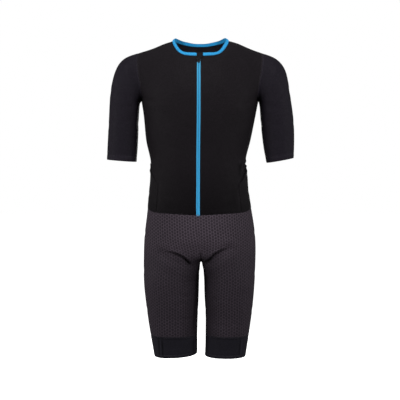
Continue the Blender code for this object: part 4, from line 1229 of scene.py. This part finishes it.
# The inner thighs' painted shade: its tone, as a share of the thighs' cells, and how much of it is mixed
# in.
INNER_SHADE_TONE = 0.65
INNER_SHADE_SHARE = 0.7
HIP_LIGHT_AND_SHADE = (1.05, 0.72)  # painted highlight in the middle near the waist, painted shade towards the sides
HIP_LIGHT_REACH = (0.02, 0.15)
TAPE_PITCH = (0.9 * MM, 1.3 * MM)
TAPE_SHADES = (2.0 * MM, 4.6 * MM)  # from the zip's line, the middle's colour and the edges'
PAINTED_LIGHT_TAPE = (0.046, 0.420, 0.800)  # the tapes' blue at the waist, brighter than at the neck: painted light
TAPE_FOOT_Z, TAPE_HEAD_Z = -0.44, -0.08  # between these it changes
# Black of the tapes' top end, and of the painted shadow along the wearer's right edge.
BLACK_END_AND_EDGE_SHADE = (0.009, 0.008, 0.010)
BLACK_END_Z = -0.0424  # the tapes are black above here, at x = 0
BLACK_END_SLANT = 0.73
BLACK_END_SOFT = 0.4 * MM
PAINTED_EDGE_SHADOW = (-5.6 * MM, -4.6 * MM)  # painted shadow of the knit's edge on the tape, beyond here at the wearer's right


def plain_knit(name, colour, roughness, painted_shade_tone=1.0, **sockets):
    """A fine, faintly mottled stretch knit, darker down the body by painted shade."""
    shade = Shade(name, colour, roughness, **sockets)
    *grain, depth = KNIT_MOTTLE
    mottle = shade.noise(*grain)
    # Painted shade: the body's knit gets darker towards the bottom.
    shade.dye_and_paint_shade(colour, mottle, depth, shade.ramp(shade.place()[2], painted_shade_tone, 1.0, LOWEST_Z, LOWER_Z))
    shade.set("Roughness", shade.around(shade.noise(ROUGH_PATCHES), roughness, KNIT_ROUGHNESS))
    u, v = shade.cloth()
    shade.relief((shade.waves((u, KNIT_WALE), (v, KNIT_COURSE)), KNIT_RELIEF), (mottle, KNIT_PATCHES))
    return shade.material


def hexagon_distance(shade, u, v, shift):
    """How far a point is from the middle of its cell, towards the cell's nearest side.

    Two such lattices, half a pitch apart both ways, make up the honeycomb; shift says which one this is.
    """
    def local(value, size):
        part = shade.math("FRACT", shade.math("MULTIPLY_ADD", value, 1 / size, shift))
        return shade.product(shade.math("ABSOLUTE", shade.math("SUBTRACT", part, 0.5)), size)

    x, y = local(u, 3 * CELL_RADIUS), local(v, CELL_HEIGHT)
    slant = shade.math("MULTIPLY_ADD", x, math.sqrt(3) / 2, shade.product(y, 0.5))
    return shade.math("MAXIMUM", shade.math("SUBTRACT", y, THIN_ACROSS), slant)


def honeycomb_knit(name, net, cell, shaded_thigh_net, shaded_thigh_cell, roughness, **sockets):
    """Staggered six-sided cells, dark and sunk, in a lighter raised net.

    Over the thighs the cloth is stretched, so the net is thinner; its colours there are shaded
    copies, darker by painted shade, deepest on the inner thighs. Near the waist the middle gets a
    painted highlight and the sides painted shade.
    """
    shade = Shade(name, net, roughness, **sockets)
    u, v = shade.cloth()
    x, _, z = shade.place()
    # 1 near the waist, 0 over the thighs, whose colours carry painted shade.
    high = shade.ramp(v, 0.0, 1.0, THIGH_Z, WAIST_Z)
    sideways = shade.math("ABSOLUTE", shade.math("SUBTRACT", x, CROTCH_X * MM))
    # Painted shade on the inner thighs.
    inner = shade.product(shade.ramp(sideways, 1.0, 0.0, *INNER_THIGH_SHADE), shade.ramp(z, 1.0, 0.0, *INNER_SHADE_Z))
    near = shade.math("MINIMUM", hexagon_distance(shade, u, v, 0.0), hexagon_distance(shade, u, v, 0.5))
    edge = CELL_HEIGHT / 2 - NET_HALF
    line = shade.ramp(near, 0.0, 1.0, edge - NET_SOFT, edge + NET_SOFT)
    foot = shade.ramp(z, 1.0, 0.0, *[GRIPPER_SEAM_Z + above for above in SEAM_BAND])
    line = shade.math("MAXIMUM", line, foot)
    cloth = shade.blend(line, shade.blend(high, shaded_thigh_cell, cell), shade.blend(high, shaded_thigh_net, net))
    cloth = shade.blend(shade.product(inner, INNER_SHADE_SHARE), cloth, scaled(shaded_thigh_cell, INNER_SHADE_TONE))
    # Painted highlight in the middle near the waist, painted shade at the sides.
    painted_hip_light = shade.math("SUBTRACT", shade.ramp(sideways, *HIP_LIGHT_AND_SHADE, *HIP_LIGHT_REACH), 1.0)
    *grain, depth = HONEYCOMB_MOTTLE
    shade.dye_and_paint_shade(cloth, shade.noise(*grain), depth, shade.math("ADD", shade.product(painted_hip_light, high), 1.0))
    shade.relief((line, NET_RELIEF), (shade.waves((u, KNIT_WALE), (v, KNIT_COURSE)), FINE_KNIT_RELIEF))
    return shade.material


def ribbed(name, colour, roughness, pitch, depth, along_u, **sockets):
    """Fine ribs on elastic or tape."""
    shade = Shade(name, colour, roughness, **sockets)
    *grain, swing = RIB_MOTTLE
    mottle = shade.noise(*grain)
    shade.dye_and_paint_shade(colour, mottle, swing)
    u, v = shade.cloth()
    shade.relief((shade.waves((u if along_u else v, pitch)), depth), (mottle, RIB_PATCHES))
    return shade.material


def zip_tape(name, edge, middle, roughness, **sockets):
    """Woven tape, lighter towards its outer edges, darker over the coil and black at its top end,
    with a painted shadow along the wearer's right edge and painted light low on the suit.
    """
    shade = Shade(name, edge, roughness, **sockets)
    u, v = shade.cloth()
    x, _, z = shade.place()
    height = shade.math("MULTIPLY_ADD", x, -BLACK_END_SLANT, z)
    # Black at the tapes' top end, and a painted shadow along the wearer's right edge.
    end_black_and_edge_shade = shade.math("MAXIMUM", shade.ramp(u, 1.0, 0.0, *PAINTED_EDGE_SHADOW),
                       shade.ramp(height, 0.0, 1.0, BLACK_END_Z - BLACK_END_SOFT,
                                  BLACK_END_Z + BLACK_END_SOFT))
    blue = shade.ramp(shade.math("ABSOLUTE", u), middle, edge, *TAPE_SHADES)
    # Painted light: the tapes are brighter low on the suit.
    blue = shade.blend(shade.ramp(z, 1.0, 0.0, TAPE_FOOT_Z, TAPE_HEAD_Z), blue, PAINTED_LIGHT_TAPE)
    shade.set("Base Color", shade.blend(end_black_and_edge_shade, blue, BLACK_END_AND_EDGE_SHADE))
    shade.relief((shade.waves((v, TAPE_PITCH[1]), (u, TAPE_PITCH[0])), WEAVE_RELIEF))
    return shade.material


def hard_finish(name, colour, roughness, **sockets):
    """Moulded plastic, enamel or thread, with faint unevenness."""
    shade = Shade(name, colour, roughness, **sockets)
    *grain, depth = HARD_MOTTLE
    mottle = shade.noise(*grain)
    shade.set("Base Color", shade.ramp(mottle, scaled(colour, 1 - depth), scaled(colour, 1 + depth),
                                       *NOISE_SPAN))
    shade.set("Roughness", shade.around(mottle, roughness, HARD_ROUGHNESS))
    shade.relief((mottle, HARD_PATCHES))
    return shade.material


def make_materials():
    cloth = {"Specular_IOR_Level": 0.04}
    recipes = {
        # 0.47: the body knit's tone at the bottom, painted shade.
        "body_knit": (plain_knit, (0.0108, 0.0089, 0.0108), 0.60, 0.47,
                      {"Sheen_Weight": 0.012, **cloth}),
        "sleeve_knit": (plain_knit, (0.0138, 0.0117, 0.0165), 0.58, cloth),
        "honeycomb_knit": (honeycomb_knit, (0.085, 0.067, 0.085), (0.0370, 0.0290, 0.0370),
                           (0.0435, 0.0348, 0.0440), (0.0232, 0.0185, 0.0238), 0.62, cloth),
        "gripper_elastic": (ribbed, (0.0146, 0.0137, 0.0186), 0.60, 1.6 * MM, 0.12 * MM, False, cloth),
        "blue_binding": (ribbed, (0.026, 0.330, 0.690), 0.55, 1.0 * MM, 0.10 * MM, True,
                         {"Specular_IOR_Level": 0.15}),
        "blue_zip_tape": (zip_tape, (0.060, 0.360, 0.610), (0.026, 0.320, 0.600), 0.55,
                          {"Specular_IOR_Level": 0.20}),
        "zip_plastic": (hard_finish, (0.110, 0.270, 0.440), 0.35, {}),
        "slider_paint": (hard_finish, (0.0055, 0.0050, 0.0060), 0.55, {"Specular_IOR_Level": 0.12}),
        "black_thread": (hard_finish, (0.020, 0.018, 0.022), 0.55, {}),
        "grey_thread": (hard_finish, (0.045, 0.040, 0.047), 0.55, {}),
        "blue_thread": (hard_finish, (0.060, 0.300, 0.580), 0.50, {}),
    }
    return {name: maker(name, *values, **sockets)
            for name, (maker, *values, sockets) in recipes.items()}


# ---------------------------------------------------------------- seam lines and sewing
def border_lines(surface, name, neighbour):
    """The ordered border of one piece against another, or against nothing, as rows of point numbers.

    The piece lies to the left of each line, seen from outside.
    """
    numbers = (surface.marks % POCKET_MARK).tolist()
    owner = {(a, b): numbers[n] for a, b, n, _ in half_edges(surface.quads)}
    other = PIECE.get(neighbour)
    after = {a: b for (a, b), number in owner.items()
             if number == PIECE[name] and owner.get((b, a)) == other}
    lines = []
    ends = set(after.values())
    starts = [a for a in after if a not in ends]
    while after:
        line = [starts.pop() if starts else next(iter(after))]
        while line[-1] in after:
            line.append(after.pop(line[-1]))
        if len(line) > 2:
            lines.append(line)
    return lines


def track(surface, tree, line, offset):
    """Points and normals along a border, moved into the piece by offset and laid on the surface."""
    points = surface.points[line]
    along = np.gradient(points, axis=0)
    if line[0] == line[-1]:
        along[0] = along[-1] = points[1] - points[-2]
    inward = np.cross(surface.normals[line], along)
    inward /= np.linalg.norm(inward, axis=1)[:, None]
    return [tree.find_nearest(Vector(place))[:2] for place in points + inward * offset]


def walk(path, pitch):
    """Evenly spaced places, directions and normals along a track."""
    lengths = running_length([spot for spot, _ in path])
    total = lengths[-1]
    count = max(1, int(total / pitch))
    k = 0
    for step in range(count):
        at = (step + 0.5) * total / count
        while k < len(path) - 2 and lengths[k + 1] < at:
            k += 1
        span = max(lengths[k + 1] - lengths[k], TINY)
        share = (at - lengths[k]) / span
        spot = path[k][0].lerp(path[k + 1][0], share)
        normal = path[k][1].lerp(path[k + 1][1], share).normalized()
        yield spot, (path[k + 1][0] - path[k][0]).normalized(), normal


STITCH_PITCH = 3.2 * MM
STITCH_LENGTH = 2.5 * MM
STITCH_WIDTH = 0.55 * MM
STITCH_HEIGHT = 0.30 * MM  # how far a stitch stands out, and reaches in
SEAM_STITCH = 2.2  # from a seam to the stitches beside it, mm


def stitch_mesh(name, paths):
    """One mesh of small flat beads, the threads of several rows of stitches."""
    verts, faces = [], []
    corners = ((0, 2, 4), (2, 1, 4), (1, 3, 4), (3, 0, 4), (2, 0, 5), (1, 2, 5), (3, 1, 5), (0, 3, 5))
    for path in paths:
        for spot, along, normal in walk(path, STITCH_PITCH):
            side = normal.cross(along).normalized()
            faces += [tuple(len(verts) + c for c in corner) for corner in corners]
            for half in (along * STITCH_LENGTH / 2, side * STITCH_WIDTH / 2, normal * -STITCH_HEIGHT):
                verts += [spot - half, spot + half]
    return smooth_mesh(name, verts, faces)


SEAMS = (
    # name, thread, slot, rows of (piece, neighbour, distance from the seam in mm where it isn't the
    # usual one); a name with SIDE in it stands for the left and for the right
    ("armhole_stitches_SIDE", "black_thread", "sleeve_knit",
     (("sleeve_SIDE", "front_SIDE"), ("sleeve_SIDE", "back"), ("front_SIDE", "sleeve_SIDE"),
      ("back", "sleeve_SIDE"))),
    ("side_stitches_SIDE", "black_thread", "body_knit", (("front_SIDE", "back"), ("back", "front_SIDE"))),
    ("waist_stitches", "grey_thread", "honeycomb_knit",
     (("shorts_front", "front_left", 2.4), ("shorts_front", "front_right", 2.4),
      ("shorts_back", "back", 2.4), ("front_left", "shorts_front"),
      ("front_right", "shorts_front"), ("back", "shorts_back"))),
    ("leg_stitches", "grey_thread", "honeycomb_knit",
     (("shorts_front", "shorts_back"), ("shorts_back", "shorts_front"))),
    ("gripper_stitches_SIDE", "grey_thread", "gripper_elastic",
     (("gripper_SIDE", "shorts_front"), ("gripper_SIDE", "shorts_back"),
      ("shorts_front", "gripper_SIDE"), ("shorts_back", "gripper_SIDE"), ("gripper_SIDE", None, 9.0))),
    ("cuff_stitches_SIDE", "grey_thread", "sleeve_knit",
     (("sleeve_SIDE", None, 15.0), ("sleeve_SIDE", None, 12.0))),
    ("zip_stitches", "black_thread", "body_knit",
     (("front_left", "zip_tape_left", 1.8), ("front_right", "zip_tape_right", 1.8))),
    ("binding_stitches", "blue_thread", "blue_binding",
     (("neck_binding", "front_left", 1.6), ("neck_binding", "front_right", 1.6),
      ("neck_binding", "back", 1.6))),
)


# ---------------------------------------------------------------- build
HARD_PIECES = (
    # node, width of its rounded edges, slot, body
    ("zip_slider", 0.35 * MM, "slider_paint", "garment"),
    ("zip_pull", 0.25 * MM, "slider_paint", "pull_tab"),
    ("zip_stop", 0.35 * MM, "zip_plastic", "garment"),
    ("zip_garage", 0.4 * MM, "body_knit", "garment"),
)
EDGE_SEGMENTS = 3
FLAT_ANGLE, EDGE_ANGLE, SMOOTH_ANGLE = [math.radians(angle) for angle in (1, 30, 60)]
SAME_PLACE = 1e-6  # corners nearer than this are one
GARAGE_WIDTH = 1.1  # the garage's share of its solid's width
GARAGE_SHIFT = 3.2 * MM  # and how far it stands to the wearer's left of it


def add_shells(plain, fine, materials):
    made = {}
    for name, slot, wall, inset, _, _ in PIECES:
        surface = fine if name in FINE_PIECES else plain
        mesh = shell(surface, name, wall, surface.piece_mask(name), inset=inset)
        made[name] = new_piece(name + "_cloth", mesh, materials[slot])
        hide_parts(name)
    return made


def add_pockets(surface, materials):
    made = {}
    for side, word in SIDE_NAME.items():
        name = "pocket_" + word
        on_side = surface.points[surface.quads].mean(axis=1)[:, 0] * side > 0
        mesh = shell(surface, name, KNIT, (surface.marks >= POCKET_MARK) & on_side, POCKET_LIFT)
        made[name] = new_piece(name + "_cloth", mesh, materials["body_knit"])
        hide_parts(name)
    return made


def add_sewing(surface, materials):
    tree = BVHTree.FromPolygons(surface.points.tolist(), surface.quads.tolist())
    for name, thread, slot, rows in SEAMS:
        for word in SIDE_NAME.values() if "SIDE" in name else ("",):
            paths = []
            for piece, neighbour, *offset in rows:
                piece, neighbour = [part and part.replace("SIDE", word) for part in (piece, neighbour)]
                for line in border_lines(surface, piece, neighbour):
                    paths.append(track(surface, tree, line, (offset or [SEAM_STITCH])[0] * MM))
            own_name = name.replace("SIDE", word)
            new_piece(own_name, stitch_mesh(own_name, paths), materials[thread])


def rounded_copy(node, width, material, body):
    """A part's hard piece with softened edges, standing where the part has it."""
    bm = bmesh.new()
    bm.from_mesh(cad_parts[node].data)
    bmesh.ops.remove_doubles(bm, verts=bm.verts, dist=SAME_PLACE)
    bmesh.ops.dissolve_limit(bm, angle_limit=FLAT_ANGLE, verts=bm.verts, edges=bm.edges)
    mesh = bpy.data.meshes.new(node + "_shape")
    bm.to_mesh(mesh)
    bm.free()
    item = new_piece(node + "_shape", mesh, material, body)
    bevel = item.modifiers.new("bevel", "BEVEL")
    bevel.width = width
    bevel.segments = EDGE_SEGMENTS
    bevel.limit_method = "ANGLE"
    bevel.angle_limit = EDGE_ANGLE
    mesh.shade_smooth()
    mesh.set_sharp_from_angle(angle=SMOOTH_ANGLE)
    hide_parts(node)
    return item


def widen(mesh, share, shift):
    """Make a piece wider, and move it sideways."""
    across = [v.co.x for v in mesh.vertices]
    middle = (min(across) + max(across)) / 2
    for v in mesh.vertices:
        v.co.x = middle + (v.co.x - middle) * share + shift


# ---------------------------------------------------------------- zip coil
COIL_PITCH = 1.5 * MM
COIL_HALF = 1.35 * MM  # half the width of one side's turns
COIL_WIRE = 0.28 * MM
COIL_SIDES = 5
COIL_STEPS = 8  # places round a turn
COIL_TOP_Z = -46.7 * MM
COIL_FOOT_Z = -497.0 * MM
COIL_PLACE = 0.85 * MM  # from the zip's line to the middle of one side's turns
COIL_BACK = SOLID_CLOTH + SEAM_GAP + 0.75 * MM  # and back from the tapes' face
COIL_DEPTH = 0.36 * MM  # half the depth of a turn
WIRE_LEAN = (0.3, 0.1, 1.0)  # a direction along which the wire never runs


def zip_line(surface):
    """The centre-front line from the neck's edge down to the waist seam."""
    tapes = [set(surface.quads[surface.piece_mask("zip_tape_" + word)].ravel())
             for word in SIDE_NAME.values()]
    line = surface.points[sorted(tapes[0] & tapes[1])]
    return line[np.argsort(-line[:, 2])]


def tube(path, radius, sides):
    """Rings and faces of a thin wire along a path."""
    verts, faces = [], []
    for k, place in enumerate(path):
        along = (path[min(k + 1, len(path) - 1)] - path[max(k - 1, 0)]).normalized()
        first = along.cross(Vector(WIRE_LEAN)).normalized()
        second = along.cross(first)
        for s in range(sides):
            turn = 2 * math.pi * s / sides
            verts.append(place + (first * math.cos(turn) + second * math.sin(turn)) * radius)
            if k:
                n, below = (s + 1) % sides, (k - 1) * sides
                faces.append((below + s, below + n, below + sides + n, below + sides + s))
    faces.append(tuple(range(sides - 1, -1, -1)))
    faces.append(tuple(len(verts) - sides + s for s in range(sides)))
    return verts, faces


def add_coil(surface, material):
    line = zip_line(surface)
    heights = np.arange(COIL_TOP_Z, COIL_FOOT_Z, -COIL_PITCH / COIL_STEPS)
    x, y = [np.interp(-heights, -line[:, 2], line[:, axis]) for axis in (0, 1)]
    verts, faces = [], []
    for side in (1, -1):
        path = []
        for step, height in enumerate(heights):
            turn = 2 * math.pi * step / COIL_STEPS + (0 if side > 0 else math.pi)
            across = side * (COIL_PLACE + COIL_HALF * math.cos(turn))
            deep = COIL_BACK + COIL_DEPTH * math.sin(turn)
            path.append(Vector((x[step] + across, y[step] + deep, height)))
        ring_verts, ring_faces = tube(path, COIL_WIRE, COIL_SIDES)
        faces += [tuple(len(verts) + v for v in face) for face in ring_faces]
        verts += ring_verts
    item = new_piece("zip_coil", smooth_mesh("zip_coil", verts, faces), material)
    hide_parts("zip_chain")


# ---------------------------------------------------------------- stage, lights and camera
FLOOR_Z = -1.45
TARGET = Vector((0.0018, 0, -0.4606))
DISTANCE = 3.2
ELEVATION = math.radians(3.7)
PIXEL = 0.00305  # metres a pixel shows, in the plane through the origin
IMAGE_SIDE = 400
SENSOR = 36.0  # width of the camera's sensor, mm
FLOOR_REACH = 12
FLOOR_GREY = (0.85, 0.85, 0.85)
FLOOR_ROUGHNESS = 0.9
WORLD_FILL = 0.19  # strength of the white world as a light


def add_stage():
    mesh = bpy.data.meshes.new("floor")
    mesh.from_pydata([(FLOOR_REACH * x, FLOOR_REACH * y, FLOOR_Z)
                      for x, y in ((-1, -1), (1, -1), (1, 1), (-1, 1))], [], [(0, 1, 2, 3)])
    floor = put("floor", mesh)
    shade = Shade("pale_floor", FLOOR_GREY, FLOOR_ROUGHNESS, Emission_Strength=1.0,
                  Emission_Color=(1, 1, 1))
    mesh.materials.append(shade.material)
    floor.visible_diffuse = False
    floor.visible_glossy = False
    world = bpy.data.worlds.new("studio")
    world.use_nodes = True
    nodes, links = world.node_tree.nodes, world.node_tree.links
    nodes["Background"].inputs["Color"].default_value = (1, 1, 1, 1)
    path = nodes.new("ShaderNodeLightPath")
    level = nodes.new("ShaderNodeMapRange")
    level.inputs["To Min"].default_value = WORLD_FILL
    level.inputs["To Max"].default_value = 1.0
    links.new(path.outputs["Is Camera Ray"], level.inputs["Value"])
    links.new(level.outputs[0], nodes["Background"].inputs["Strength"])
    bpy.context.scene.world = world


LIGHTS = (
    # name, place, width, height, watts
    ("left_soft", (-2.2, -1.3, -0.15), 1.0, 1.8, 32),
    ("right_soft", (2.2, -1.3, -0.15), 1.0, 1.8, 28),
    ("overhead", (-0.1, -0.95, 0.9), 0.8, 0.6, 10.5),
    ("high_right", (1.3, -1.4, 1.4), 1.2, 1.2, 4),
    ("left_strip", (-2.4, 0.2, -0.1), 1.0, 1.8, 8),
    ("right_strip", (2.4, 0.2, -0.1), 1.0, 1.8, 6),
    ("top", (0, 0.4, 2.1), 1.6, 1.4, 5),
    ("behind", (0.2, 2.9, 0.2), 1.4, 1.8, 45),
)
LIGHT_AIM = (0, 0, -0.4)


def add_lights():
    for name, place, width, height, watts in LIGHTS:
        data = bpy.data.lights.new(name, "AREA")
        data.shape = "RECTANGLE"
        data.size = width
        data.size_y = height
        data.energy = watts
        item = put(name, data)
        item.location = place
        item.rotation_euler = (Vector(LIGHT_AIM) - Vector(place)).to_track_quat("-Z", "Y").to_euler()


def add_camera():
    data = bpy.data.cameras.new("camera")
    data.sensor_width = SENSOR
    data.lens = SENSOR * DISTANCE / (IMAGE_SIDE * PIXEL)
    camera = put("camera", data)
    back = Vector((0, -math.cos(ELEVATION), math.sin(ELEVATION)))
    camera.location = TARGET + back * DISTANCE
    camera.rotation_euler = (-back).to_track_quat("-Z", "Y").to_euler()
    bpy.context.scene.camera = camera
    bpy.context.scene.view_settings.view_transform = "Standard"


# ---------------------------------------------------------------- the suit
def main():
    add_camera()
    add_stage()
    add_lights()
    materials = make_materials()
    surface, fine_surface = smooth_surfaces(build_cage())
    press_folds(surface)
    press_folds(fine_surface)
    shells = add_shells(surface, fine_surface, materials)
    pockets = add_pockets(surface, materials)
    add_sewing(surface, materials)
    add_coil(surface, materials["zip_plastic"])
    for node, width, slot, body in HARD_PIECES:
        item = rounded_copy(node, width, materials[slot], body)
        if node == "zip_garage":
            widen(item.data, GARAGE_WIDTH, GARAGE_SHIFT)


main()
